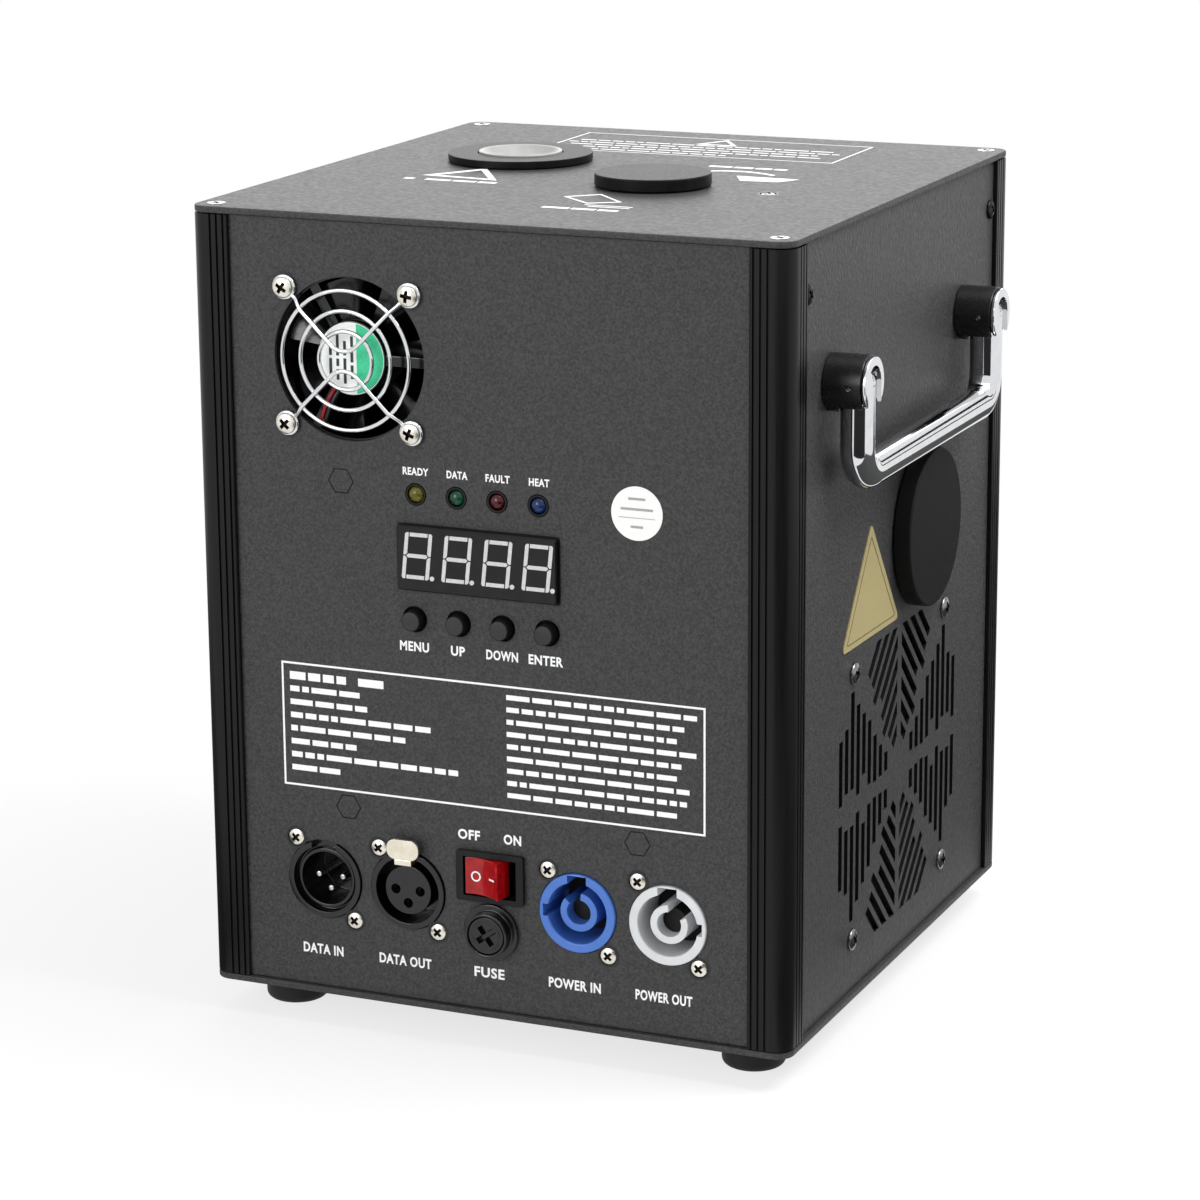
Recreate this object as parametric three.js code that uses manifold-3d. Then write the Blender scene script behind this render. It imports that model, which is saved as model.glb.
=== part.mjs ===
// Cold spark machine: a folded-plate casing on four extruded corner posts, with a granule hopper,
// a feed screw, a heated spark column and a blower inside. Millimetres, +Z up.
// X runs along the control panel, the control panel faces -Y, and the feet stand on z = 0.
import * as THREE from 'three';
import { mergeVertices } from 'three/addons/utils/BufferGeometryUtils.js';
import Module from 'manifold-3d';

const wasm = await Module();
wasm.setup();

// Driving dimensions

// Casing
const case_width = 187;
const case_depth = 195;
const case_height = 237;
const foot_height = 10;
const plate_thickness = 2;
const corner_radius = 5.5;
const panel_thickness = 1.2;
const panel_recess = 1.5;

// How far a flat may lie inside the circle that it stands for
const chord_error = 0.28;

// Clearances
const seat_gap = 0.3;
const running_gap = 0.4;
const overrun = 1;
const weld = 0.4;
const merge_tolerance = 0.0001;

// Corner post
const post_face = 12.6;
const post_lip = 1.35;
const post_inner_wall = 1.35;
const post_slot_floor = 7.5;
const slot_play = 0.15;
const post_heel = 9.6;
const groove_width = 0.7;
const groove_depth = 0.6;
const groove_place_shares = [0.563, 0.73, 0.897];
const corner_screw_x = 6;
const corner_screw_y = 6.4;
const corner_screw_radius = 1.7;

// Feet
const foot_radius = 9.5;
const foot_tread_radius = 6.4;
const foot_inset_x = 18.2;
const foot_inset_y = 20.5;
const foot_screw_radius = 3;
const foot_screw_depth = 5;
const foot_flats = 12;

// Carrying handles
const handle_inset = 39;
const handle_centre_y = -3.5;
const handle_drop = 27;
const handle_bar_radius = 5;
const handle_bend_radius = 9;
const handle_pivot_out = 8.2;
const boss_length = 13.2;
const boss_rim_radius = 8;
const boss_rim_length = 1.2;
const boss_core_radius = 7.3;
const sleeve_radius = 8.4;
const handle_pin_radius = 1.5;

// Nozzle
const nozzle_x = -41;
const nozzle_rear = 77.5;
const nozzle_flange_radius = 22.5;
const nozzle_flange_thickness = 2.3;
const nozzle_ring_radius = 13;
const nozzle_ring_proud = 1;
const nozzle_ring_length = 18;
const nozzle_bore_radius = 7.5;
const nozzle_dish_radius = 10.6;
const nozzle_dish_depth = 1.6;

// Filling hole
const filler_inset = 75.5;
const filler_y = -14.5;
const filler_cap_radius = 17.5;
const filler_cap_thickness = 3.8;
const filler_neck_radius = 15;
const filler_neck_wall = 2;
const filler_spigot_length = 8;
const filler_spigot_wall = 1.5;

// Access port in the right side
const port_feed_offset = 3.7;
const port_feed_drop = 0.2;
const port_radius = 20;
const port_collar_wall = 1.5;
const port_collar_length = 10;
const side_cap_radius = 24.3;
const side_cap_thickness = 5.6;
const side_cap_spigot_length = 5;
const side_cap_spigot_wall = 2.2;
const cap_edge = 0.8;

// Slotted grille in the right side
// Gaps below the fan, between it and the port's cap, and below the handle's bar, as shares of
// the height that the three leave free.
const side_gap_shares = [0.24107143, 0.05357143, 0.05178571];
const grille_y = 0.9;
const grille_pitch = 5;
const grille_slot_width = 3;
const grille_reach = 53;
const grille_first_column = 11.6;
const grille_column_top_shares = [0.17, 0.237, 0.32, 0.432, 0.5, 0.577, 0.67, 0.48, 0.434];
const grille_column_foot_shares = [0.056, 0.05, 0.045, 0.058, 0.143, 0.05, 0.106, 0.106, 0.056];
const grille_chevron_rise = 7;
const grille_chevron_first = 15;
const grille_chevron_roof = 45.7;
const grille_chevron_inner = 1.8;
const grille_chevron_outer_shares = [0.108, 0.172, 0.266, 0.294, 0.308, 0.432, 0.46, 0.52];

// Fans
const front_fan_inset = 50.5;
const front_fan_drop = 42.2;
const front_fan_size = 50;
const front_fan_depth = 15;
const front_fan_screw_inset = 5;
const front_fan_wall = 1.4;
const front_fan_hub = 11;
const front_fan_opening = 24.1;
const side_fan_size = 92;
const side_fan_depth = 25;
const side_fan_screw_inset = 4.75;
const side_fan_wall = 2.5;
const side_fan_hub = 18;
const fan_corner = 2.5;
const fan_screw_radius = 2.1;
const fan_arm_width = 4;
const fan_spider_depth = 3;
const fan_axle_radius = 2;
const fan_blades = 7;
const blade_thickness = 1.4;
const blade_margin = 1;
const blade_root_pitch = 50;
const blade_tip_pitch = 32;
const blade_root_share = 0.94;
const blade_tip_share = 1.1;

// Wire guard over the front fan: its rings are shares of the opening's radius
const guard_wire_radius = 0.65;
const guard_ring_shares = [0.353, 0.602, 0.846];
const guard_ring_out = 2.2;
const guard_eyelet_radius = 3.2;
const guard_vee_gap = 2.6;
const guard_weld = 0.45;

// Display, lamps and keys
const display_x = -2.7;
const display_drop = 99;
const display_width = 50.6;
const display_height = 19.2;
const display_proud = 1.9;
const display_corner = 1;
const lamp_drop = 80.3;
const lamp_first_x = -22.4;
const lamp_pitch = 12.9;
const lamp_radius = 2.5;
const lamp_shoulder = 1.3;
const key_drop = 117;
const key_first_x = -23;
const key_pitch = 14.05;
const key_radius = 3.25;
const key_rim_radius = 4.2;
const key_rim_thickness = 1;
const key_proud = 4.3;
const key_travel = 1;
const key_edge = 0.4;

// Control board
const board_width = 101;
const board_switch_gap = 4.7;
const board_fan_gap = 6.8;
const board_thickness = 1.6;
const board_out = -9.2;
const standoff_inset = 4.5;
const standoff_radius = 3.3;
const key_switch_size = 6;
const key_switch_height = 3.4;
const chip_height = 3;
// Across, up, width and height of each chip, in shares of the board
const chip_shares = [[0, -0.2, 0.2, 0.12], [-0.3, 0.25, 0.12, 0.12], [0.25, 0.25, 0.18, 0.1]];

// Panel sockets
const socket_z = 36;
// Gaps beside the switch and between two sockets, in shares of the width that the sockets leave free
const data_gap_shares = [0.193, 0.083];
const power_gap_shares = [0.21, 0.133];
const socket_ring_radius = 12;
const socket_proud = 0.9;
const socket_flange_width = 26;
const socket_flange_height = 31;
const socket_flange_thickness = 2;
const socket_flange_corner = 3;
const socket_body_depth = 17;
const socket_terminal_length = 5;
const socket_tag_width = 2.4;
const socket_tag_thickness = 0.8;
const socket_screw_x = 9.5;
const socket_screw_z = 12;
const socket_screw_radius = 1.7;

// Data sockets
const data_lip_radius = 10.2;
const data_groove_floor = -2.5;
const data_shell_radius = 9.3;
const data_shell_out = -0.6;
const data_cavity_radius = 8.2;
const data_cavity_floor = -15;
const data_pin_radius = 1.2;
const data_pin_out = -3.2;
const data_pin_circle = 4;
const data_pin_angles = [180, 0, 270];
const data_insert_radius = 7.5;
const data_groove_depth = -13;
const data_insert_out = 0.2;
const data_hole_radius = 1.3;
const data_hole_floor = -11;
const data_notch_width = 8;
const latch_stem_width = 5.6;
const latch_stem_thickness = 1.8;
const latch_stem_low = 8.6;
const latch_tab_width = 10.4;
const latch_tab_height = 6.1;
const latch_tab_thickness = 1.2;
const latch_tab_out = 2.4;
const latch_tab_round_share = 0.45;
const latch_stem_depth = 7;
const latch_travel = 1.2;

// Power sockets
const power_ring_bore = 9.3;
const power_cavity_floor = -15;
const power_core_radius = 5.9;
const power_core_bore = 3.7;
const power_core_out = -0.5;
const power_notch_width = 6;
const power_notch_depth = 2.1;
const power_key_width = 3.7;
const power_key_depth = 1.5;
const power_terminal_circle = 6;
const power_terminal_angles = [40, 140, 270];

// Mains switch
const switch_z = 43.5;
const bezel_width = 21.6;
const bezel_height = 15.4;
const bezel_out = 1.6;
const bezel_corner = 1;
const bezel_opening_width = 17;
const bezel_opening_height = 12;
const switch_tub_width = 19;
const switch_tub_height = 13.6;
const switch_tub_depth = 16;
const switch_tub_floor = 2;
const rocker_pivot_in = 3;
const rocker_half_length = 6.3;
const rocker_rise = 3.5;
const rocker_dip = 1.7;
const rocker_tilt = 17;
const rocker_waist = 5.4;
const rocker_heel = 2.2;
const rocker_heel_depth = 5;
const rocker_trunnion_radius = 1;
const rocker_trunnion_length = 0.5;
const switch_tag_spacing = 9;
const switch_tag_width = 4.8;
const switch_tag_thickness = 0.8;
const switch_tag_length = 6;

// Fuse
const fuse_z = 26.7;
const fuse_flange_radius = 8.7;
const fuse_flange_out = 1.5;
const fuse_collar_radius = 6.8;
const fuse_collar_out = 4.9;
const fuse_collar_bore = 5.9;
const fuse_body_depth = 27;
const fuse_nut_radius = 9;
const fuse_nut_thickness = 3;
const fuse_cap_depth = 7.5;
const fuse_slot_width = 1.5;
const fuse_slot_length = 6.4;
const fuse_slot_depth = 1.6;
const fuse_slot_angle = 36;
const fuse_link_radius = 2.6;
const fuse_link_length = 20;
const fuse_link_cap = 5;

// Granule feed
const trough_radius = 13;
const trough_bore = 10.2;
const trough_start_gap = 0.8;
const hopper_column_gap = 2;
const hopper_wall = 1.5;
const hopper_roof_drop = 17;
const hopper_front_margin = 4.5;
const hopper_back_margin = 3;
const hopper_shoulder_share = 0.45454545;
const hopper_back_share = 0.19480519;
const hopper_throat_half = 9;
const hopper_throat_rise = 8;
const hopper_flange_radius = 22;
const hopper_flange_thickness = 2;
const spout_radius = 8;
const spout_bore = 6;
const auger_shaft_radius = 4.2;
const auger_flight_radius = 9.6;
const auger_flight_thickness = 2;
const auger_tail = 7.5;
const auger_turns = 3.5;
const flight_steps = 8;
const auger_end_gap = 3;
const motor_radius = 17;
const motor_gearbox_length = 20;
const motor_length = 33.5;
const motor_can_radius = 14.5;
const motor_shaft_radius = 2.5;
const motor_shaft_length = 8;

// Heated column
const column_tube_radius = 10;
const column_jacket_radius = 27;
const column_jacket_rise = 15.2;
const column_jacket_drop = 23;
const column_foot_radius = 15;
const column_foot_thickness = 2.5;
const column_flats = 16;

// Blower
const blower_radius = 36;
const blower_depth = 30;
const blower_wall = 1.5;
const blower_chimney = 13.2;
const blower_outlet_width = 28;
const blower_intake_radius = 21;
const blower_axle_radius = 2.5;
const wheel_radius = 27;
const wheel_plate = 1.5;
const wheel_depth = 22;
const wheel_blades = 9;
const wheel_blade_thickness = 1.2;
const wheel_blade_lean = 24;
const wheel_hub_radius = 7;

// Power supply
const supply_width = 120;
const supply_depth = 38;
const supply_rear_gap = 6.8;
const supply_board = 2;
const supply_fin_height = 30;
const supply_fin_thickness = 2;
const supply_fins = 7;
const supply_fin_run = 46;

// Planes and places that follow from the driving dimensions
const floor_top = plate_thickness;
const cover_under = case_height - plate_thickness;
const wall_low = floor_top + seat_gap;
const wall_high = cover_under - seat_gap;
const front_plane = case_depth / 2 - panel_recess;
const side_plane = case_width / 2 - panel_recess;
const behind_panel = -panel_thickness - seat_gap;
const slot_width = panel_thickness + 2 * slot_play;
const handle_span = case_depth - 2 * handle_inset;
const front_fan_duct = front_fan_size / 2 - front_fan_wall;
const front_fan_pitch = front_fan_size - 2 * front_fan_screw_inset;
const side_fan_duct = side_fan_size / 2 - side_fan_wall;
const side_fan_pitch = side_fan_size - 2 * side_fan_screw_inset;
const handle_height = handle_drop + handle_bar_radius + sleeve_radius;
const side_room = case_height - side_fan_size - 2 * side_cap_radius - handle_height;
const [below_fan, below_port, below_handle] = side_gap_shares.map((share) => share * side_room);
const grille_z = below_fan + side_fan_size / 2;
const port_z = below_fan + side_fan_size + below_port + side_cap_radius;
const handle_z = port_z + side_cap_radius + below_handle + handle_bar_radius + handle_drop;
const feed_z = port_z + port_feed_drop;
const nozzle_y = case_depth / 2 - nozzle_rear;
const filler_x = case_width / 2 - filler_inset;
const port_y = nozzle_y - port_feed_offset;
const front_fan_z = case_height - front_fan_drop;
const display_z = case_height - display_drop;
const lamp_z = case_height - lamp_drop;
const key_z = case_height - key_drop;
const front_fan_x = front_fan_inset - case_width / 2;
const board_low = switch_z + switch_tub_height / 2 + board_switch_gap;
const board_high = front_fan_z - front_fan_size / 2 - board_fan_gap;
const board_height = board_high - board_low;
const board_z = (board_high + board_low) / 2;
const hopper_left = nozzle_x + column_jacket_radius + hopper_column_gap;
const hopper_right = filler_x + hopper_flange_radius;
const hopper_front = filler_y - filler_neck_radius - hopper_front_margin;
const hopper_back = nozzle_y + trough_radius + hopper_back_margin;
const hopper_roof = cover_under - hopper_roof_drop;
const hopper_throat_z = feed_z + hopper_throat_rise;
const hopper_shoulder = hopper_throat_z + hopper_shoulder_share * (hopper_roof - hopper_throat_z);
const hopper_back_shoulder = hopper_throat_z + hopper_back_share * (hopper_roof - hopper_throat_z);
const trough_left = nozzle_x + column_jacket_radius + trough_start_gap;
const auger_left = hopper_left + auger_end_gap;
const auger_right = hopper_right - auger_end_gap;
const auger_pitch = (auger_right - auger_left - auger_tail) / auger_turns;
const blower_x = nozzle_x + blower_radius - blower_outlet_width / 2;
const blower_z = floor_top + seat_gap + blower_radius;
const blower_front = nozzle_y - blower_depth / 2;
const blower_outlet_top = blower_z + blower_radius + blower_chimney;
const supply_back = front_plane - panel_thickness - supply_rear_gap;
const supply_front = supply_back - supply_depth;
const socket_room = case_width / 2 - post_face - bezel_width / 2 - 2 * socket_flange_width;
const socket_start = (bezel_width + socket_flange_width) / 2;
const data_out_x = -socket_start - data_gap_shares[0] * socket_room;
const data_in_x = data_out_x - socket_flange_width - data_gap_shares[1] * socket_room;
const power_in_x = socket_start + power_gap_shares[0] * socket_room;
const power_out_x = power_in_x + socket_flange_width + power_gap_shares[1] * socket_room;

// Finishes
const finish = (color, roughness, metalness) => ({ color, roughness, metalness });
const powder_black = finish(0x3c3c3d, 0.55, 0.15);
const anodised_black = finish(0x202021, 0.4, 0.5);
const plastic_black = finish(0x161617, 0.5, 0);
const rubber_black = finish(0x141414, 0.8, 0);
const chrome = finish(0xd8d9dc, 0.12, 1);
const nickel = finish(0xd9d2c4, 0.3, 1);
const ceramic_white = finish(0xeeeeec, 0.5, 0);
const steel = finish(0x9a9b9e, 0.4, 0.9);
const aluminium = finish(0xb4b6ba, 0.45, 0.9);
const lagging = finish(0xcfc8b8, 0.95, 0);
const board_green = finish(0x1f4f33, 0.6, 0);
const socket_blue = finish(0x2f62c4, 0.45, 0);
const socket_grey = finish(0xd2d3d3, 0.45, 0);
const switch_red = finish(0x9c1a1e, 0.2, 0);
const glass_clear = finish(0xdfe6e6, 0.1, 0);
const lamp_colours = {
  ready_lamp: finish(0x8a8420, 0.2, 0),
  data_lamp: finish(0x116b45, 0.2, 0),
  fault_lamp: finish(0x6d1420, 0.2, 0),
  heat_lamp: finish(0x2b4fae, 0.2, 0),
};

// Shape helpers

const point = (x, y) => new THREE.Vector2(x, y);

// How many flats stand for a circle: an even number, and at least six.
function facets(radius) {
  const half_turn = Math.PI / Math.acos(1 - Math.min(chord_error / radius, 0.5));
  return Math.max(6, 2 * Math.ceil(half_turn / 2));
}

function polygon(radius, sides, x = 0, y = 0) {
  const points = [];
  for (let i = 0; i < sides; i++) {
    const angle = (2 * Math.PI * i) / sides;
    points.push(point(x + radius * Math.cos(angle), y + radius * Math.sin(angle)));
  }
  return points;
}

const circle = (radius, x = 0, y = 0) => polygon(radius, facets(radius), x, y);

function rectangle(width, height, x = 0, y = 0) {
  const a = width / 2;
  const b = height / 2;
  return [point(x - a, y - b), point(x + a, y - b), point(x + a, y + b), point(x - a, y + b)];
}

function arc(cx, cy, radius, from, to, steps) {
  const points = [];
  for (let i = 0; i <= steps; i++) {
    const angle = THREE.MathUtils.degToRad(from + ((to - from) * i) / steps);
    points.push(point(cx + radius * Math.cos(angle), cy + radius * Math.sin(angle)));
  }
  return points;
}

function rounded(width, height, radius, steps, x = 0, y = 0) {
  const a = width / 2 - radius;
  const b = height / 2 - radius;
  return [
    ...arc(x + a, y - b, radius, -90, 0, steps),
    ...arc(x + a, y + b, radius, 0, 90, steps),
    ...arc(x - a, y + b, radius, 90, 180, steps),
    ...arc(x - a, y - b, radius, 180, 270, steps),
  ];
}

// A flat outline with holes, pulled along +Z from one height to another.
function extruded(points, holes, from, to) {
  const shape = new THREE.Shape(points);
  shape.holes = holes.map((hole) => new THREE.Path(hole));
  const geometry = new THREE.ExtrudeGeometry(shape, { depth: to - from, bevelEnabled: false });
  return geometry.translate(0, 0, from);
}

// The same, with its holes cut out afterwards, for sheets with many aligned holes.
function pierced(points, holes, from, to) {
  const tools = holes.map((hole) => extruded(hole, [], from - overrun, to + overrun));
  return cut(extruded(points, [], from, to), ...tools);
}

// A profile of [radius, height] pairs, counter-clockwise, turned about +Z.
function turned(profile, flats) {
  const points = profile.map(([radius, height]) => point(radius, height));
  const widest = Math.max(...profile.map(([radius]) => radius));
  return new THREE.LatheGeometry(points, flats ?? facets(widest)).rotateX(Math.PI / 2);
}

const rod = (radius, from, to) => extruded(circle(radius), [], from, to);

function tube(outer, inner, from, to) {
  return turned([[inner, from], [outer, from], [outer, to], [inner, to], [inner, from]]);
}

function block(x0, x1, y0, y1, z0, z1) {
  const geometry = new THREE.BoxGeometry(x1 - x0, y1 - y0, z1 - z0);
  return geometry.translate((x0 + x1) / 2, (y0 + y1) / 2, (z0 + z1) / 2);
}

// Joining and cutting

function solid(geometry) {
  const bare = geometry.clone();
  bare.deleteAttribute('normal');
  bare.deleteAttribute('uv');
  const merged = mergeVertices(bare, merge_tolerance);
  const index = merged.index.array;
  const kept = [];
  for (let i = 0; i < index.length; i += 3) {
    const [a, b, c] = [index[i], index[i + 1], index[i + 2]];
    if (a !== b && b !== c && c !== a) kept.push(a, b, c);
  }
  const mesh = new wasm.Mesh({
    numProp: 3,
    vertProperties: new Float32Array(merged.attributes.position.array),
    triVerts: new Uint32Array(kept),
  });
  return new wasm.Manifold(mesh);
}

function drawn(body) {
  const mesh = body.getMesh();
  const geometry = new THREE.BufferGeometry();
  geometry.setAttribute('position', new THREE.BufferAttribute(new Float32Array(mesh.vertProperties), 3));
  geometry.setIndex(new THREE.BufferAttribute(new Uint32Array(mesh.triVerts), 1));
  geometry.computeVertexNormals();
  return geometry;
}

const union = (parts) => parts.map(solid).reduce((whole, next) => whole.add(next));
const join = (...parts) => drawn(union(parts));
const cut = (base, ...tools) => drawn(solid(base).subtract(union(tools)));

// The machine, its casing and the casing's faces. Heights in the casing start at its underside.
// On a face, local x and y lie in the panel's outer surface, seen from outside, and local z
// points out of the casing.
const machine = new THREE.Group();
const casing = new THREE.Group();
casing.position.z = foot_height;
machine.add(casing);

function facing(right, up, out, place) {
  const face = new THREE.Group();
  face.quaternion.setFromRotationMatrix(new THREE.Matrix4().makeBasis(right, up, out));
  face.position.copy(place);
  casing.add(face);
  return face;
}

const [X, Y, Z] = [new THREE.Vector3(1, 0, 0), new THREE.Vector3(0, 1, 0), new THREE.Vector3(0, 0, 1)];
const front = facing(X, Z, Y.clone().negate(), new THREE.Vector3(0, -front_plane, 0));
const rear = facing(X.clone().negate(), Z, Y, new THREE.Vector3(0, front_plane, 0));
const right = facing(Y, Z, X, new THREE.Vector3(side_plane, 0, 0));
const left = facing(Y.clone().negate(), Z, X.clone().negate(), new THREE.Vector3(-side_plane, 0, 0));

function add(parent, name, geometry, look, x = 0, y = 0, z = 0) {
  const mesh = new THREE.Mesh(geometry, new THREE.MeshStandardMaterial(look));
  mesh.name = name;
  mesh.position.set(x, y, z);
  parent.add(mesh);
  return mesh;
}

const front_fan = {
  x: front_fan_x,
  z: front_fan_z,
  size: front_fan_size,
  depth: front_fan_depth,
  pitch: front_fan_pitch,
  duct: front_fan_duct,
  hub: front_fan_hub,
  arms: [0, 120, 240],
};
const side_fan = {
  x: grille_y,
  z: grille_z,
  size: side_fan_size,
  depth: side_fan_depth,
  pitch: side_fan_pitch,
  duct: side_fan_duct,
  hub: side_fan_hub,
  arms: [45, 135, 225, 315],
};

// Casing

function addPlates() {
  const outline = rounded(case_width, case_depth, corner_radius, 3);
  const screws = [];
  for (const sx of [-1, 1]) {
    for (const sy of [-1, 1]) {
      const x = sx * (case_width / 2 - corner_screw_x);
      const y = sy * (case_depth / 2 - corner_screw_y);
      screws.push(circle(corner_screw_radius, x, y));
    }
  }
  const nozzle_hole = circle(nozzle_ring_radius + running_gap, nozzle_x, nozzle_y);
  const filler_hole = circle(filler_neck_radius + running_gap, filler_x, filler_y);
  const cover = extruded(outline, [...screws, nozzle_hole, filler_hole], cover_under, case_height);
  add(casing, 'top_cover', cover, powder_black);
  add(casing, 'bottom_plate', extruded(outline, screws, 0, plate_thickness), powder_black);
}

// One leg of the corner profile, from the end of its rounded corner to the inner heel.
function postLeg() {
  const grooves = groove_place_shares.flatMap((share) => [
    point(share * post_face - groove_width / 2, 0),
    point(share * post_face, groove_depth),
    point(share * post_face + groove_width / 2, 0),
  ]);
  const slot_back = post_lip + slot_width;
  const inner = slot_back + post_inner_wall;
  return [
    ...grooves,
    point(post_face, 0),
    point(post_face, post_lip),
    point(post_slot_floor, post_lip),
    point(post_slot_floor, slot_back),
    point(post_face, slot_back),
    point(post_face, inner),
    point(post_heel, inner),
  ];
}

function addPosts() {
  const leg = postLeg();
  const mirrored = leg.map((p) => point(p.y, p.x)).reverse();
  const corner = arc(corner_radius, corner_radius, corner_radius, 180, 270, 3);
  const outline = [...leg, point(post_heel, post_heel), ...mirrored, ...corner];
  const names = ['post_front_left', 'post_front_right', 'post_rear_right', 'post_rear_left'];
  const corners = [[-1, -1], [1, -1], [1, 1], [-1, 1]];
  names.forEach((name, i) => {
    const [sx, sy] = corners[i];
    // The screw channel keeps to the cover's screw, whichever way round the profile stands.
    const across = i % 2 === 0;
    const u = across ? corner_screw_x : corner_screw_y;
    const v = across ? corner_screw_y : corner_screw_x;
    const channel = circle(corner_screw_radius, u, v);
    const post = add(casing, name, extruded(outline, [channel], wall_low, wall_high), anodised_black);
    post.position.set((sx * case_width) / 2, (sy * case_depth) / 2, 0);
    post.rotation.z = (i * Math.PI) / 2;
  });
}

// Holes that a fan needs in its panel: four screws, and an opening for the guarded one.
function fanScrewHoles(fan) {
  const holes = [];
  for (const sx of [-1, 1]) {
    for (const sz of [-1, 1]) {
      holes.push(circle(fan_screw_radius, fan.x + (sx * fan.pitch) / 2, fan.z + (sz * fan.pitch) / 2));
    }
  }
  return holes;
}

function frontHoles() {
  const holes = fanScrewHoles(front_fan);
  holes.push(circle(front_fan_opening, front_fan_x, front_fan_z));
  for (let i = 0; i < 4; i++) {
    holes.push(circle(lamp_radius + seat_gap, lamp_first_x + i * lamp_pitch, lamp_z));
    holes.push(circle(key_radius + seat_gap, key_first_x + i * key_pitch, key_z));
  }
  const window_width = display_width + 2 * seat_gap;
  const window_height = display_height + 2 * seat_gap;
  holes.push(rectangle(window_width, window_height, display_x, display_z));
  for (const x of [data_in_x, data_out_x, power_in_x, power_out_x]) {
    holes.push(circle(socket_ring_radius + seat_gap, x, socket_z));
    holes.push(circle(socket_screw_radius, x - socket_screw_x, socket_z + socket_screw_z));
    holes.push(circle(socket_screw_radius, x + socket_screw_x, socket_z - socket_screw_z));
  }
  holes.push(rectangle(switch_tub_width + 2 * seat_gap, switch_tub_height + 2 * seat_gap, 0, switch_z));
  holes.push(circle(fuse_collar_radius + seat_gap, 0, fuse_z));
  return holes;
}

// The grille is four mirrored quarters: upright slots to the sides, slanted ones above and below.
function grilleSlots() {
  const slots = [];
  const mirrored = (quarter) => {
    for (const sx of [-1, 1]) {
      for (const sy of [-1, 1]) {
        slots.push(quarter.map(([x, y]) => point(grille_y + sx * x, grille_z + sy * y)));
      }
    }
  };
  grille_column_top_shares.forEach((share, i) => {
    const middle = grille_first_column + i * grille_pitch;
    const low = grille_column_foot_shares[i] * grille_reach;
    const high = share * grille_reach;
    const near = middle - grille_slot_width / 2;
    const far = middle + grille_slot_width / 2;
    mirrored([[near, low], [far, low], [far, high], [near, high]]);
  });
  grille_chevron_outer_shares.forEach((share, i) => {
    const sum = grille_chevron_first + i * grille_chevron_rise;
    const spread = grille_slot_width / Math.SQRT2;
    const outer = share * grille_reach;
    const capped = sum - grille_chevron_roof > grille_chevron_inner;
    // The inner end is cut upright, or level where the slot meets the grille's top edge.
    const inner = [sum - spread, sum + spread].map((edge) => (capped
      ? [edge - grille_chevron_roof, grille_chevron_roof]
      : [grille_chevron_inner, edge - grille_chevron_inner]));
    const half = spread / 2;
    mirrored([inner[0], [outer - half, sum - outer - half], [outer + half, sum - outer + half], inner[1]]);
  });
  return slots;
}

function addPanels() {
  const tall = wall_high - wall_low;
  const middle = (wall_high + wall_low) / 2;
  const hidden = 2 * (post_slot_floor + seat_gap);
  const wide = rectangle(case_width - hidden, tall, 0, middle);
  const deep = rectangle(case_depth - hidden, tall, 0, middle);
  add(front, 'front_panel', pierced(wide, frontHoles(), -panel_thickness, 0), powder_black);
  add(rear, 'rear_panel', extruded(wide, [], -panel_thickness, 0), powder_black);
  add(left, 'left_panel', extruded(deep, [], -panel_thickness, 0), powder_black);

  const port = circle(port_radius, port_y, port_z);
  const holes = [...fanScrewHoles(side_fan), ...grilleSlots(), port];
  const sheet = pierced(deep, holes, -panel_thickness, 0);
  const rim = circle(port_radius + port_collar_wall, port_y, port_z);
  const collar = extruded(rim, [port], -panel_thickness - port_collar_length, 0);
  add(right, 'right_panel', join(sheet, collar), powder_black);
}

function addFeet() {
  const side_height = foot_height - seat_gap;
  const shoulder = foot_radius - foot_tread_radius;
  const tread = arc(foot_tread_radius, shoulder, shoulder, -90, 0, 1).map((p) => [p.x, p.y]);
  const profile = [[0, foot_screw_depth], [foot_screw_radius, foot_screw_depth], [foot_screw_radius, 0]];
  profile.push(...tread, [foot_radius, side_height], [0, side_height]);
  const places = { front_left: [-1, -1], front_right: [1, -1], rear_left: [-1, 1], rear_right: [1, 1] };
  for (const [place, [sx, sy]] of Object.entries(places)) {
    const x = sx * (case_width / 2 - foot_inset_x);
    const y = sy * (case_depth / 2 - foot_inset_y);
    add(machine, `foot_${place}`, turned(profile, foot_flats), rubber_black, x, y, 0);
  }
}

// Carrying handles

// The bail's centre line: two legs, two bends and a bar, with its even steps spent on the bends.
class BailPath extends THREE.Curve {
  constructor(span, drop, bend, bend_steps) {
    super();
    const half = span / 2;
    const near = arc(bend - half, bend - drop, bend, 180, 270, bend_steps);
    const far = arc(half - bend, bend - drop, bend, -90, 0, bend_steps);
    this.stations = [point(-half, 0), ...near, ...far, point(half, 0)];
  }

  getPoint(t) {
    const place = t * (this.stations.length - 1);
    const low = Math.min(Math.floor(place), this.stations.length - 2);
    const spot = this.stations[low].clone().lerp(this.stations[low + 1], place - low);
    return new THREE.Vector3(spot.x, spot.y, 0);
  }

  getPointAt(t) {
    return this.getPoint(t);
  }

  getTangentAt(t) {
    const step = 0.5 / (this.stations.length - 1);
    const from = this.getPoint(Math.max(0, t - step));
    return this.getPoint(Math.min(1, t + step)).sub(from).normalize();
  }
}

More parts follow.
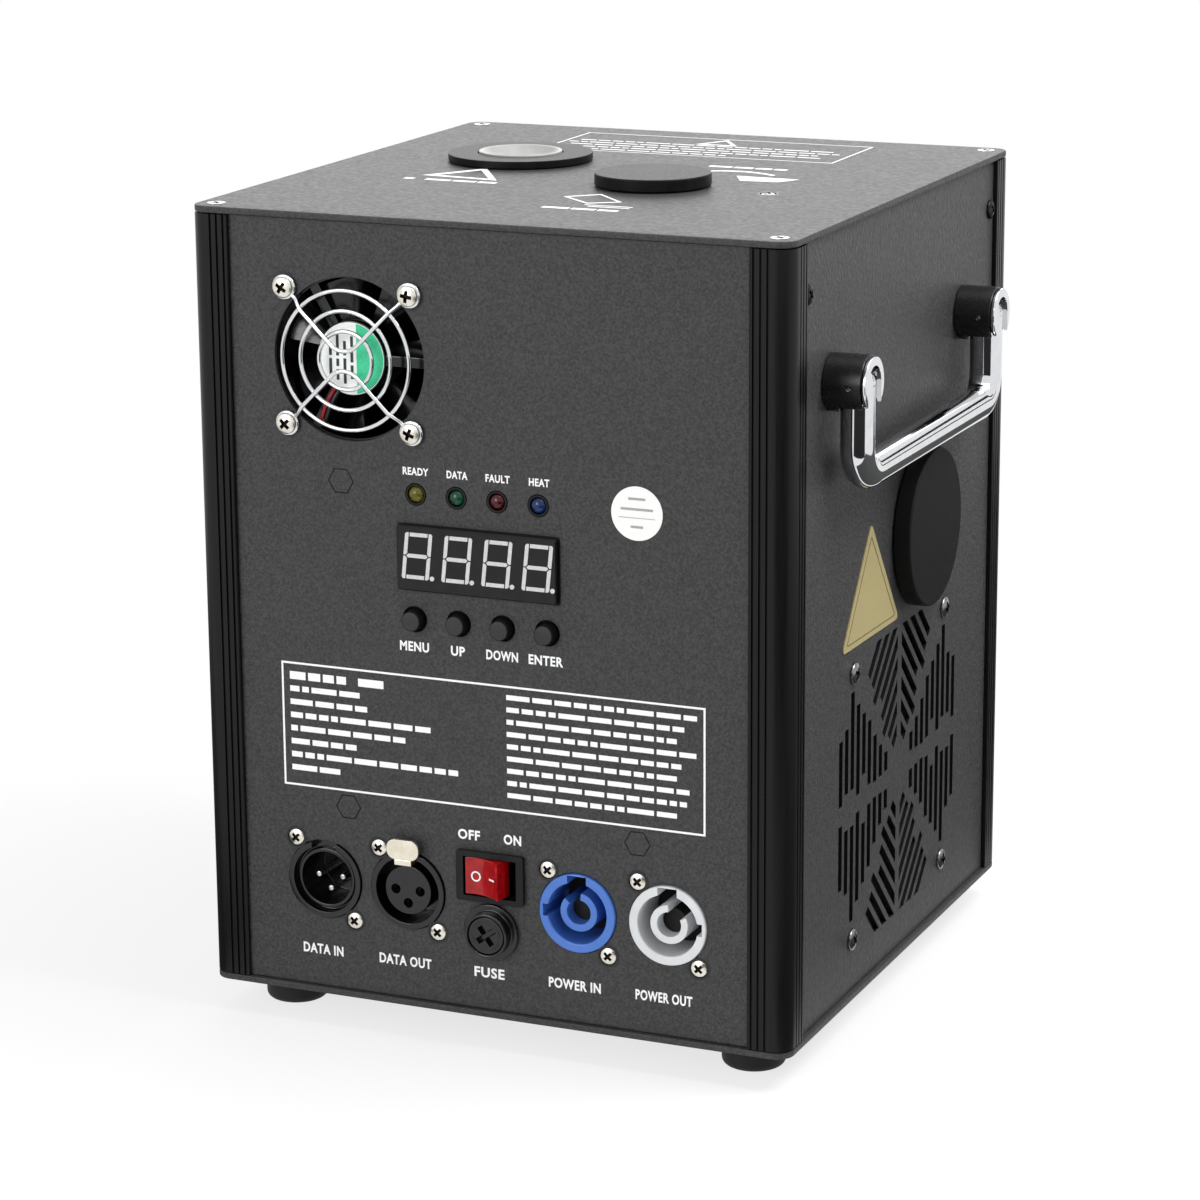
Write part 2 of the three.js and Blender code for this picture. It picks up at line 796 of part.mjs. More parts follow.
function bail() {
  const path = new BailPath(handle_span, handle_drop, handle_bend_radius, 4);
  const section = new THREE.Shape(polygon(handle_bar_radius, 8));
  const options = { steps: path.stations.length - 1, extrudePath: path, bevelEnabled: false };
  const bar = new THREE.ExtrudeGeometry(section, options);
  const ends = [-1, 1].map((s) => new THREE.SphereGeometry(handle_bar_radius, 8, 4)
    .translate((s * handle_span) / 2, 0, 0));
  const pin_hole = handle_pin_radius + seat_gap;
  const holes = [-1, 1].map((s) => rod(pin_hole, -boss_rim_radius, boss_rim_radius)
    .rotateY(Math.PI / 2)
    .translate((s * handle_span) / 2, 0, 0));
  return cut(join(bar, ...ends), ...holes);
}

// The slot that lets a leg of the bail hang down and swing out, cut from a boss.
function bossSlot() {
  const half = handle_bar_radius + running_gap;
  const floor = handle_pivot_out - handle_bar_radius - running_gap;
  const bore = rod(half, floor, boss_length + overrun);
  const slot = block(-half, half, -sleeve_radius - overrun, 0, floor, boss_length + overrun);
  return [bore, slot];
}

function bossPost() {
  const rim_low = boss_length - boss_rim_length;
  const body = turned([
    [0, seat_gap],
    [boss_core_radius, seat_gap],
    [boss_core_radius, rim_low],
    [boss_rim_radius, rim_low],
    [boss_rim_radius, boss_length],
    [0, boss_length],
  ]);
  const clevis = cut(body, ...bossSlot());
  const pin = rod(handle_pin_radius, -sleeve_radius, sleeve_radius)
    .rotateY(Math.PI / 2)
    .translate(0, 0, handle_pivot_out);
  return join(clevis, pin);
}

function bossSleeve() {
  const high = boss_length - boss_rim_length - seat_gap;
  const wall = tube(sleeve_radius, boss_core_radius + seat_gap, seat_gap, high);
  const pin_hole = rod(handle_pin_radius + seat_gap, -sleeve_radius - overrun, sleeve_radius + overrun)
    .rotateY(Math.PI / 2)
    .translate(0, 0, handle_pivot_out);
  const half = handle_bar_radius + running_gap;
  const floor = handle_pivot_out - handle_bar_radius - running_gap;
  const slot = block(-half, half, -sleeve_radius - overrun, 0, floor, boss_length + overrun);
  return cut(wall, pin_hole, slot);
}

function addHandles() {
  for (const [side, face, centre] of [['right', right, handle_centre_y], ['left', left, -handle_centre_y]]) {
    add(face, `handle_${side}`, bail(), chrome, centre, handle_z, handle_pivot_out);
    const ends = side === 'right' ? ['front', 'rear'] : ['rear', 'front'];
    ends.forEach((end, i) => {
      const x = centre + ((2 * i - 1) * handle_span) / 2;
      add(face, `handle_post_${side}_${end}`, bossPost(), chrome, x, handle_z, 0);
      add(face, `handle_sleeve_${side}_${end}`, bossSleeve(), rubber_black, x, handle_z, 0);
    });
  }
}

// Nozzle, filling hole and side port

function addNozzle() {
  const low = case_height + seat_gap;
  const high = low + nozzle_flange_thickness;
  const bore = nozzle_ring_radius + seat_gap;
  const edge = seat_gap;
  const plate = turned([
    [bore, low],
    [nozzle_flange_radius, low],
    [nozzle_flange_radius, high - edge],
    [nozzle_flange_radius - edge, high],
    [bore, high],
    [bore, low],
  ]);
  add(casing, 'nozzle_flange', plate, anodised_black, nozzle_x, nozzle_y, 0);

  const top = high + nozzle_ring_proud;
  const foot = top - nozzle_ring_length;
  const lip = nozzle_ring_proud / 2;
  const ring = turned([
    [nozzle_bore_radius, foot],
    [nozzle_ring_radius, foot],
    [nozzle_ring_radius, top - lip],
    [nozzle_ring_radius - lip, top],
    [nozzle_dish_radius, top],
    [nozzle_bore_radius, top - nozzle_dish_depth],
    [nozzle_bore_radius, foot],
  ]);
  add(casing, 'nozzle_insert', ring, ceramic_white, nozzle_x, nozzle_y, 0);
}

// A round cap with a hollow spigot that plugs a bore below it.
function plugCap(radius, thickness, spigot, wall, length) {
  return turned([
    [0, seat_gap],
    [spigot - wall, seat_gap],
    [spigot - wall, -length],
    [spigot, -length],
    [spigot, seat_gap],
    [radius, seat_gap],
    [radius, seat_gap + thickness - cap_edge],
    [radius - cap_edge, seat_gap + thickness],
    [0, seat_gap + thickness],
  ]);
}

function addCaps() {
  const filler_spigot = filler_neck_radius - filler_neck_wall - running_gap;
  const cap = plugCap(
    filler_cap_radius, filler_cap_thickness, filler_spigot, filler_spigot_wall, filler_spigot_length);
  add(casing, 'filler_cap', cap, anodised_black, filler_x, filler_y, case_height);

  const side_spigot = port_radius - running_gap;
  const side = plugCap(
    side_cap_radius, side_cap_thickness, side_spigot, side_cap_spigot_wall, side_cap_spigot_length);
  add(right, 'side_cap', side, plastic_black, port_y, port_z, 0);
}

// Fans

// A blade as a twisted plate between two radii, closed at both ends.
function fanBlade(root, tip, depth) {
  const stations = [[root, blade_root_share, blade_root_pitch], [tip, blade_tip_share, blade_tip_pitch]];
  const corners = [];
  for (const [radius, share, pitch] of stations) {
    const angle = THREE.MathUtils.degToRad(pitch);
    const chord = (depth - blade_thickness) * share;
    const along = point(Math.cos(angle), Math.sin(angle)).multiplyScalar(chord / 2);
    const across = point(-Math.sin(angle), Math.cos(angle)).multiplyScalar(blade_thickness / 2);
    for (const [a, b] of [[-1, -1], [1, -1], [1, 1], [-1, 1]]) {
      const side = a * along.x + b * across.x;
      corners.push(Math.sqrt(radius ** 2 - side ** 2), side, a * along.y + b * across.y);
    }
  }
  const faces = [0, 3, 2, 0, 2, 1];
  const last = 4 * (stations.length - 1);
  faces.push(last, last + 1, last + 2, last, last + 2, last + 3);
  for (let s = 0; s < stations.length - 1; s++) {
    for (let i = 0; i < 4; i++) {
      const a = 4 * s + i;
      const b = 4 * s + ((i + 1) % 4);
      faces.push(a, b, b + 4, a, b + 4, a + 4);
    }
  }
  const geometry = new THREE.BufferGeometry();
  geometry.setAttribute('position', new THREE.Float32BufferAttribute(corners, 3));
  geometry.setIndex(faces);
  return geometry;
}

// Frame and rotor lie between z = 0, at the panel, and z = -depth.
function fanFrame(fan) {
  const outline = rounded(fan.size, fan.size, fan_corner, 1);
  const holes = [circle(fan.duct)];
  for (const sx of [-1, 1]) {
    for (const sy of [-1, 1]) {
      holes.push(circle(fan_screw_radius, (sx * fan.pitch) / 2, (sy * fan.pitch) / 2));
    }
  }
  const housing = extruded(outline, holes, -fan.depth, 0);
  const hub = rod(fan.hub, -fan_spider_depth, 0);
  const axle = rod(fan_axle_radius, -fan.depth + fan_spider_depth, 0);
  const half = fan_arm_width / 2;
  const arms = fan.arms.map((angle) => block(0, fan.duct + overrun, -half, half, -fan_spider_depth, 0)
    .rotateZ(THREE.MathUtils.degToRad(angle)));
  return join(housing, hub, axle, ...arms);
}

function fanRotor(fan) {
  const back = -fan.depth + blade_margin;
  const face = -fan_spider_depth - running_gap;
  const blades = [];
  for (let i = 0; i < fan_blades; i++) {
    const blade = fanBlade(fan.hub - overrun, fan.duct - blade_margin, face - back);
    blades.push(blade.translate(0, 0, (face + back) / 2).rotateZ((2 * Math.PI * i) / fan_blades));
  }
  const drum = rod(fan.hub, back, face);
  const bore = rod(fan_axle_radius + seat_gap, -fan.depth + fan_spider_depth - seat_gap, 0);
  return cut(join(drum, ...blades), bore);
}

// The guard is three rings under two bent wires, each wire ending in eyelets round two screws.
function fanGuard() {
  const radii = guard_ring_shares.map((share) => share * front_fan_opening);
  const rings = radii.map((radius) => new THREE.TorusGeometry(radius, guard_wire_radius, 4, facets(radius))
    .translate(0, 0, guard_ring_out));
  const corner = front_fan_pitch / 2;
  const eyelet_out = seat_gap + guard_wire_radius;
  const wire_out = guard_ring_out + 2 * guard_wire_radius - guard_weld;
  const wires = [];
  for (const s of [-1, 1]) {
    for (const side of [-1, 1]) {
      const eyelet = new THREE.TorusGeometry(guard_eyelet_radius, guard_wire_radius, 4, 6);
      wires.push(eyelet.translate(side * corner, s * corner, eyelet_out));
    }
    const start = corner - guard_eyelet_radius / Math.SQRT2;
    const rise = radii[2] / Math.SQRT2;
    const flank = radii[0] / Math.SQRT2;
    const points = [
      [-start, s * start, eyelet_out],
      [-rise - guard_wire_radius, s * (rise + guard_wire_radius), wire_out],
      [-flank, s * flank, wire_out],
      [-guard_vee_gap, s * (guard_vee_gap + guard_wire_radius), wire_out],
      [0, s * guard_vee_gap, wire_out],
    ].map(([x, y, z]) => new THREE.Vector3(x, y, z));
    const other = points.slice(0, -1).reverse().map((p) => new THREE.Vector3(-p.x, p.y, p.z));
    const path = new THREE.CatmullRomCurve3([...points, ...other], false, 'centripetal');
    const section = new THREE.Shape(polygon(guard_wire_radius, 4));
    wires.push(new THREE.ExtrudeGeometry(section, { steps: 8, extrudePath: path, bevelEnabled: false }));
  }
  return join(...rings, ...wires);
}

function addFans() {
  add(front, 'fan_guard', fanGuard(), chrome, front_fan.x, front_fan.z, 0);
  add(front, 'front_fan_frame', fanFrame(front_fan), plastic_black, front_fan.x, front_fan.z, behind_panel);
  add(front, 'front_fan_rotor', fanRotor(front_fan), plastic_black, front_fan.x, front_fan.z, behind_panel);
  add(right, 'side_fan_frame', fanFrame(side_fan), plastic_black, side_fan.x, side_fan.z, behind_panel);
  add(right, 'side_fan_rotor', fanRotor(side_fan), plastic_black, side_fan.x, side_fan.z, behind_panel);
}

// Display, lamps, keys and the board that carries them

function lamp() {
  const profile = [[0, board_out + seat_gap], [lamp_radius, board_out + seat_gap]];
  const dome = arc(0, -lamp_shoulder, lamp_radius, 0, 90, 3).map((p) => [p.x, p.y]);
  dome[dome.length - 1][0] = 0;
  return turned([...profile, ...dome]);
}

function key() {
  const back = board_out + key_switch_height + key_travel + running_gap;
  const rim_high = behind_panel;
  const rim_low = rim_high - key_rim_thickness;
  return turned([
    [0, back],
    [key_radius, back],
    [key_radius, rim_low],
    [key_rim_radius, rim_low],
    [key_rim_radius, rim_high],
    [key_radius, rim_high],
    [key_radius, key_proud - key_edge],
    [key_radius - key_edge, key_proud],
    [0, key_proud],
  ]);
}

function controlBoard() {
  const back = board_out - board_thickness;
  const parts = [extruded(rectangle(board_width, board_height, 0, board_z), [], back, board_out)];
  for (const sx of [-1, 1]) {
    for (const sy of [-1, 1]) {
      const post = extruded(polygon(standoff_radius, 6), [], board_out - overrun, behind_panel);
      const x = sx * (board_width / 2 - standoff_inset);
      parts.push(post.translate(x, board_z + sy * (board_height / 2 - standoff_inset), 0));
    }
  }
  const half = key_switch_size / 2;
  for (let i = 0; i < 4; i++) {
    const x = key_first_x + i * key_pitch;
    const top = board_out + key_switch_height;
    parts.push(block(x - half, x + half, key_z - half, key_z + half, back + board_thickness / 2, top));
  }
  for (const [x_share, z_share, width_share, height_share] of chip_shares) {
    const x = x_share * board_width;
    const z = board_z + z_share * board_height;
    const w = (width_share * board_width) / 2;
    const h = (height_share * board_height) / 2;
    parts.push(block(x - w, x + w, z - h, z + h, back - chip_height, back + board_thickness / 2));
  }
  return join(...parts);
}

function addControls() {
  const window = rounded(display_width, display_height, display_corner, 2, display_x, display_z);
  const display = extruded(window, [], board_out + seat_gap, display_proud);
  add(front, 'display', display, plastic_black);
  Object.entries(lamp_colours).forEach(([name, look], i) => {
    add(front, name, lamp(), look, lamp_first_x + i * lamp_pitch, lamp_z, 0);
  });
  ['menu_key', 'up_key', 'down_key', 'enter_key'].forEach((name, i) => {
    add(front, name, key(), plastic_black, key_first_x + i * key_pitch, key_z, 0);
  });
  add(front, 'control_board', controlBoard(), board_green);
}

// Panel sockets

function socketFlange() {
  const plate = rounded(socket_flange_width, socket_flange_height, socket_flange_corner, 1);
  const mouth = circle(socket_ring_radius - weld);
  return extruded(plate, [mouth], behind_panel - socket_flange_thickness, behind_panel);
}

// A place on a circle round a socket's axis.
function onCircle(radius, angle) {
  const turn = THREE.MathUtils.degToRad(angle);
  return [radius * Math.cos(turn), radius * Math.sin(turn), 0];
}

function socketTerminals(radius, angles) {
  const a = socket_tag_width / 2;
  const b = socket_tag_thickness / 2;
  const low = -socket_body_depth - socket_terminal_length;
  return angles.map((angle) => block(-a, a, -b, b, low, overrun - socket_body_depth)
    .translate(...onCircle(radius, angle)));
}

// The chassis inlet: a lipped ring, an inner shell and three pins standing in its well.
function dataInlet() {
  const barrel = turned([
    [0, -socket_body_depth],
    [socket_ring_radius, -socket_body_depth],
    [socket_ring_radius, socket_proud],
    [data_lip_radius, socket_proud],
    [data_lip_radius, data_groove_floor],
    [data_shell_radius, data_groove_floor],
    [data_shell_radius, data_shell_out],
    [data_cavity_radius, data_shell_out],
    [data_cavity_radius, data_cavity_floor],
    [0, data_cavity_floor],
  ]);
  const half = data_notch_width / 2;
  const notch = block(-half, half, data_shell_radius, socket_ring_radius + overrun, data_groove_floor, overrun);
  const shell = cut(join(barrel, socketFlange()), notch);
  const tip = data_pin_radius / 2;
  const pins = data_pin_angles.map((angle) => turned([
    [0, data_cavity_floor - overrun],
    [data_pin_radius, data_cavity_floor - overrun],
    [data_pin_radius, data_pin_out - tip],
    [tip, data_pin_out],
    [0, data_pin_out],
  ]).translate(...onCircle(data_pin_circle, angle)));
  return join(shell, ...pins, ...socketTerminals(data_pin_circle, data_pin_angles));
}

// The chassis outlet: a round insert with three contact holes inside a deep annular groove.
function dataOutlet() {
  const barrel = turned([
    [0, -socket_body_depth],
    [socket_ring_radius, -socket_body_depth],
    [socket_ring_radius, socket_proud],
    [data_lip_radius, socket_proud],
    [data_lip_radius, data_groove_depth],
    [data_insert_radius, data_groove_depth],
    [data_insert_radius, data_insert_out],
    [0, data_insert_out],
  ]);
  const slot_half = latch_stem_width / 2 + running_gap;
  const slot_low = latch_stem_low - running_gap;
  const slot_high = latch_stem_low + latch_stem_thickness + running_gap;
  const slot_floor = -latch_stem_depth - latch_travel - running_gap;
  const tools = [block(-slot_half, slot_half, slot_low, slot_high, slot_floor, socket_proud + overrun)];
  for (const angle of data_pin_angles) {
    const hole = rod(data_hole_radius, data_hole_floor, overrun);
    tools.push(hole.translate(...onCircle(data_pin_circle, angle)));
  }
  const body = cut(join(barrel, socketFlange()), ...tools);
  return join(body, ...socketTerminals(data_pin_circle, data_pin_angles));
}

function latch() {
  const half = latch_stem_width / 2;
  const high = latch_stem_low + latch_stem_thickness;
  const tab_top = latch_tab_out + latch_tab_thickness;
  const stem = block(-half, half, latch_stem_low, high, -latch_stem_depth, tab_top);
  const round = latch_tab_height * latch_tab_round_share;
  const lobe = rounded(latch_tab_width, latch_tab_height, round, 3, 0, high + latch_tab_height / 2);
  return join(stem, extruded(lobe, [], latch_tab_out, tab_top));
}

// A locking power socket: a thick ring with two keyways round a split core.
function powerSocket(key_side, split_from, split_to) {
  const notch_floor = power_ring_bore + power_notch_depth;
  const key_floor = power_ring_bore + power_key_depth;
  const barrel = turned([
    [0, -socket_body_depth],
    [socket_ring_radius, -socket_body_depth],
    [socket_ring_radius, socket_proud],
    [power_ring_bore, socket_proud],
    [power_ring_bore, power_cavity_floor],
    [0, power_cavity_floor],
  ]);
  const notch_half = power_notch_width / 2;
  const key_half = power_key_width / 2;
  const high = socket_proud + overrun;
  const notch = block(-notch_half, notch_half, power_core_radius, notch_floor, power_cavity_floor, high);
  const key_way = block(power_core_radius, key_floor, -key_half, key_half, power_cavity_floor, high);
  if (key_side < 0) key_way.rotateZ(Math.PI);
  const ring = cut(join(barrel, socketFlange()), notch, key_way);
  const outer = arc(0, 0, power_core_radius, split_to, split_from + 360, 8);
  const inner = arc(0, 0, power_core_bore, split_from + 360, split_to, 6);
  const core = extruded([...outer, ...inner], [], power_cavity_floor - overrun, power_core_out);
  return join(ring, core, ...socketTerminals(power_terminal_circle, power_terminal_angles));
}

function addSockets() {
  add(front, 'data_in_socket', dataInlet(), plastic_black, data_in_x, socket_z, 0);
  add(front, 'data_out_socket', dataOutlet(), plastic_black, data_out_x, socket_z, 0);
  add(front, 'data_out_latch', latch(), nickel, data_out_x, socket_z, 0);
  add(front, 'power_in_socket', powerSocket(-1, 84, 138), socket_blue, power_in_x, socket_z, 0);
  add(front, 'power_out_socket', powerSocket(1, 28, 92), socket_grey, power_out_x, socket_z, 0);
}

// Mains switch

function switchFrame() {
  const opening = rectangle(bezel_opening_width, bezel_opening_height);
  const rim = rounded(bezel_width, bezel_height, bezel_corner, 2);
  const bezel = extruded(rim, [opening], seat_gap, bezel_out);
  const box = rectangle(switch_tub_width, switch_tub_height);
  const tub = extruded(box, [opening], -switch_tub_depth, bezel_out - seat_gap);
  const floor = block(
    -switch_tub_width / 2, switch_tub_width / 2, -switch_tub_height / 2, switch_tub_height / 2,
    -switch_tub_depth - switch_tub_floor, -switch_tub_depth);
  const bearing = rod(rocker_trunnion_radius + seat_gap, -switch_tub_height, switch_tub_height)
    .rotateX(Math.PI / 2)
    .translate(0, 0, -rocker_pivot_in);
  const deep = -switch_tub_depth - switch_tub_floor;
  const a = switch_tag_thickness / 2;
  const b = switch_tag_width / 2;
  const tags = [-1, 1].map((s) => block(-a, a, -b, b, deep - switch_tag_length, deep + overrun)
    .translate((s * switch_tag_spacing) / 2, 0, 0));
  return join(cut(join(bezel, tub, floor), bearing), ...tags);
}

// The rocker about its own pivot, level; its face dips between two raised ends.
function rocker() {
  const end_height = rocker_pivot_in + rocker_rise;
  const bow = (rocker_half_length ** 2 + rocker_dip ** 2) / (2 * rocker_dip);
  const sweep = THREE.MathUtils.radToDeg(Math.asin(rocker_half_length / bow));
  const centre = end_height - rocker_dip + bow;
  const face = arc(0, centre, bow, 270 + sweep, 270 - sweep, 8);
  const heel = rocker_pivot_in - rocker_heel_depth;
  const outline = [
    ...face,
    point(-rocker_waist, 0),
    point(-rocker_heel, heel),
    point(rocker_heel, heel),
    point(rocker_waist, 0),
  ];
  const half = bezel_opening_height / 2 - seat_gap;
  const body = extruded(outline, [], -half, half);
  const reach = bezel_opening_height / 2 + rocker_trunnion_length;
  const trunnion = rod(rocker_trunnion_radius, -reach, reach);
  return join(body, trunnion).rotateX(Math.PI / 2);
}

function addSwitch() {
  add(front, 'switch_frame', switchFrame(), plastic_black, 0, switch_z, 0);
  const part = add(front, 'switch_rocker', rocker(), switch_red, 0, switch_z, -rocker_pivot_in);
  // At rest the switch is off: its left end is pressed in.
  part.rotation.y = -THREE.MathUtils.degToRad(rocker_tilt);
}

// Fuse

function fuseHolder() {
  const well = fuse_collar_out - seat_gap - fuse_cap_depth - seat_gap;
  const link_bore = fuse_link_radius + running_gap;
  const barrel = turned([
    [0, -fuse_body_depth],
    [fuse_collar_radius, -fuse_body_depth],
    [fuse_collar_radius, seat_gap],
    [fuse_flange_radius, seat_gap],
    [fuse_flange_radius, fuse_flange_out],
    [fuse_collar_radius, fuse_flange_out],
    [fuse_collar_radius, fuse_collar_out],
    [fuse_collar_bore, fuse_collar_out],
    [fuse_collar_bore, well],
    [link_bore, well],
    [link_bore, well - fuse_link_length - seat_gap],
    [0, well - fuse_link_length - seat_gap],
  ]);
  const nut_hole = circle(fuse_collar_radius - weld);
  const nut = extruded(polygon(fuse_nut_radius, 6), [nut_hole], behind_panel - fuse_nut_thickness, behind_panel);
  const half = socket_tag_width / 2;
  const thin = socket_tag_thickness / 2;
  const tag_tip = -fuse_body_depth - socket_terminal_length;
  const tag = block(-half, half, -thin, thin, tag_tip, overrun - fuse_body_depth);
  return join(barrel, nut, tag);
}

function fuseCap() {
  const radius = fuse_collar_bore - seat_gap;
  const high = fuse_collar_out - seat_gap;
  const disc = rod(radius, high - fuse_cap_depth, high);
  const a = fuse_slot_length / 2;
  const b = fuse_slot_width / 2;
  const floor = high - fuse_slot_depth;
  const turn = THREE.MathUtils.degToRad(fuse_slot_angle);
  const bar = block(-a, a, -b, b, floor, high + overrun).rotateZ(turn);
  const cross = block(-b, b, -a, a, floor, high + overrun).rotateZ(turn);
  return cut(disc, bar, cross);
}

function fuseLink() {
  const high = fuse_collar_out - seat_gap - fuse_cap_depth - seat_gap;
  const low = high - fuse_link_length;
  const glass = fuse_link_radius - seat_gap;
  return turned([
    [0, low],
    [fuse_link_radius, low],
    [fuse_link_radius, low + fuse_link_cap],
    [glass, low + fuse_link_cap],
    [glass, high - fuse_link_cap],
    [fuse_link_radius, high - fuse_link_cap],
    [fuse_link_radius, high],
    [0, high],
  ]);
}

function addFuse() {
  add(front, 'fuse_holder', fuseHolder(), plastic_black, 0, fuse_z, 0);
  add(front, 'fuse_cap', fuseCap(), plastic_black, 0, fuse_z, 0);
  add(front, 'fuse_link', fuseLink(), glass_clear, 0, fuse_z, 0);
}

// Granule feed

// Lines up a shape turned about +Z with the feed screw's axis, along +X.
const alongFeed = (geometry) => geometry.rotateY(Math.PI / 2).translate(0, nozzle_y, feed_z);

// A hopper cross-section in the YZ plane, pulled from one x to another.
function hopperSection(inset, left_x, right_x, throat_z) {
  const outline = [
    point(hopper_front + inset, hopper_roof - inset),
    point(hopper_front + inset, hopper_shoulder + inset / 2),
    point(nozzle_y - hopper_throat_half + inset, throat_z),
    point(nozzle_y + hopper_throat_half - inset, throat_z),
    point(hopper_back - inset, hopper_back_shoulder),
    point(hopper_back - inset, hopper_roof - inset),
  ];
  const body = extruded(outline, [], left_x, right_x);
  return body.applyMatrix4(new THREE.Matrix4().makeBasis(Y, Z, X));
}

function hopper() {
  const shell = hopperSection(0, hopper_left, hopper_right, hopper_throat_z);
  const trough = alongFeed(rod(trough_radius, trough_left, hopper_right));
  const spout_tip = nozzle_x + nozzle_bore_radius + seat_gap;
  const spout = alongFeed(rod(spout_radius, spout_tip, trough_left + overrun));
  const neck_top = case_height - seat_gap;
  const neck = rod(filler_neck_radius, hopper_roof - overrun, neck_top).translate(filler_x, filler_y, 0);
  const flange_high = cover_under - seat_gap;
  const flange = rod(hopper_flange_radius, flange_high - hopper_flange_thickness, flange_high)
    .translate(filler_x, filler_y, 0);
  const outside = join(shell, trough, spout, neck, flange);

  const near_x = hopper_left + hopper_wall;
  const far_x = hopper_right - hopper_wall;
  const hollow = hopperSection(hopper_wall, near_x, far_x, hopper_throat_z - overrun);
  const feed = alongFeed(rod(trough_bore, auger_left - seat_gap, far_x));
  const outlet = alongFeed(rod(spout_bore, spout_tip - overrun, auger_left));
  const drive = alongFeed(rod(motor_shaft_radius + running_gap, 0, hopper_right + overrun));
  const neck_bore = filler_neck_radius - filler_neck_wall;
  const mouth = rod(neck_bore, hopper_roof - 2 * hopper_wall, case_height).translate(filler_x, filler_y, 0);
  return cut(outside, hollow, feed, outlet, drive, mouth);
}

// One closed ribbon that climbs along +Z round the shaft.
function helicalFlight(root, tip, pitch, turns, thickness, low) {
  const steps = Math.round(flight_steps * turns);
  const corners = [];
  for (let i = 0; i <= steps; i++) {
    const turn = (i / steps) * turns;
    const angle = 2 * Math.PI * turn;
    const height = low + pitch * turn;
    for (const [radius, lift] of [[root, 0], [tip, 0], [tip, thickness], [root, thickness]]) {
      corners.push(radius * Math.cos(angle), radius * Math.sin(angle), height + lift);
    }
  }
  const faces = [0, 1, 2, 0, 2, 3];
  for (let s = 0; s < steps; s++) {
    for (let i = 0; i < 4; i++) {
      const a = 4 * s + i;
      const b = 4 * s + ((i + 1) % 4);
      faces.push(a, a + 4, b + 4, a, b + 4, b);
    }
  }
  const last = 4 * steps;
  faces.push(last, last + 2, last + 1, last, last + 3, last + 2);
  const geometry = new THREE.BufferGeometry();
  geometry.setAttribute('position', new THREE.Float32BufferAttribute(corners, 3));
  geometry.setIndex(faces);
  return geometry;
}

function auger() {
  const shaft = rod(auger_shaft_radius, auger_left + seat_gap, auger_right);
  const root = auger_shaft_radius - overrun;
  const low = auger_left + running_gap;
  const flight = helicalFlight(
    root, auger_flight_radius, auger_pitch, auger_turns, auger_flight_thickness, low);
  const socket_low = hopper_right + seat_gap - motor_shaft_length - seat_gap;
  const socket = rod(motor_shaft_radius + seat_gap, socket_low, auger_right + overrun);
  return alongFeed(cut(join(shaft, flight), socket));
}

function feedMotor() {
  const low = hopper_right + seat_gap;
  const gearbox = rod(motor_radius, low, low + motor_gearbox_length);
  const can = rod(motor_can_radius, low + motor_gearbox_length - overrun, low + motor_length);
  const shaft = rod(motor_shaft_radius, low - motor_shaft_length, low + overrun);
  return alongFeed(join(gearbox, can, shaft));
}

function heaterCore() {
  const foot = blower_outlet_top + seat_gap;
  const jacket_low = foot + column_jacket_rise;
  const jacket_high = cover_under - column_jacket_drop;
  const ring_top = case_height + seat_gap + nozzle_flange_thickness + nozzle_ring_proud;
  const top = ring_top - nozzle_ring_length - seat_gap;
  const column = turned([
    [nozzle_bore_radius, foot],
    [column_foot_radius, foot],
    [column_foot_radius, foot + column_foot_thickness],
    [column_tube_radius, foot + column_foot_thickness],
    [column_tube_radius, jacket_low],
    [column_jacket_radius, jacket_low],
    [column_jacket_radius, jacket_high],
    [column_tube_radius, jacket_high],
    [column_tube_radius, top],
    [nozzle_bore_radius, top],
    [nozzle_bore_radius, foot],
  ], column_flats);
  const inlet = rod(spout_radius + seat_gap, 0, column_jacket_radius + overrun)
    .rotateY(Math.PI / 2)
    .translate(0, 0, feed_z);
  return cut(column, inlet);
}

// Blower

// The scroll in the XZ plane: a round case whose left edge runs straight up to the outlet.
function scroll(inset, from, to) {
  const radius = blower_radius - inset;
  const high = blower_outlet_top + (inset > 0 ? overrun : 0);
  const left_x = blower_x - blower_radius + inset;
  const right_x = blower_x - blower_radius + blower_outlet_width - inset;
  const open_angle = THREE.MathUtils.radToDeg(Math.acos((right_x - blower_x) / radius));
  const outline = [
    point(left_x, high),
    ...arc(blower_x, blower_z, radius, 180, 360 + open_angle, 22),
    point(right_x, high),
  ];
  return extruded(outline, [], from, to).applyMatrix4(new THREE.Matrix4().makeBasis(X, Z, Y.clone().negate()));
}

const blowerAxis = (geometry) => geometry
  .applyMatrix4(new THREE.Matrix4().makeBasis(X, Z, Y.clone().negate()))
  .translate(blower_x, 0, blower_z);

function blowerHousing() {
  const back = -blower_front - blower_depth;
  const shell = scroll(0, back, -blower_front);
  const hollow = scroll(blower_wall, back + blower_wall, -blower_front - blower_wall);
  const intake = blowerAxis(rod(blower_intake_radius, -blower_front - 2 * blower_wall, overrun - blower_front));
  const axle_tip = back + blower_wall + overrun + wheel_depth / 2;
  const axle = blowerAxis(rod(blower_axle_radius, back + blower_wall / 2, axle_tip));
  return join(cut(shell, hollow, intake), axle);
}

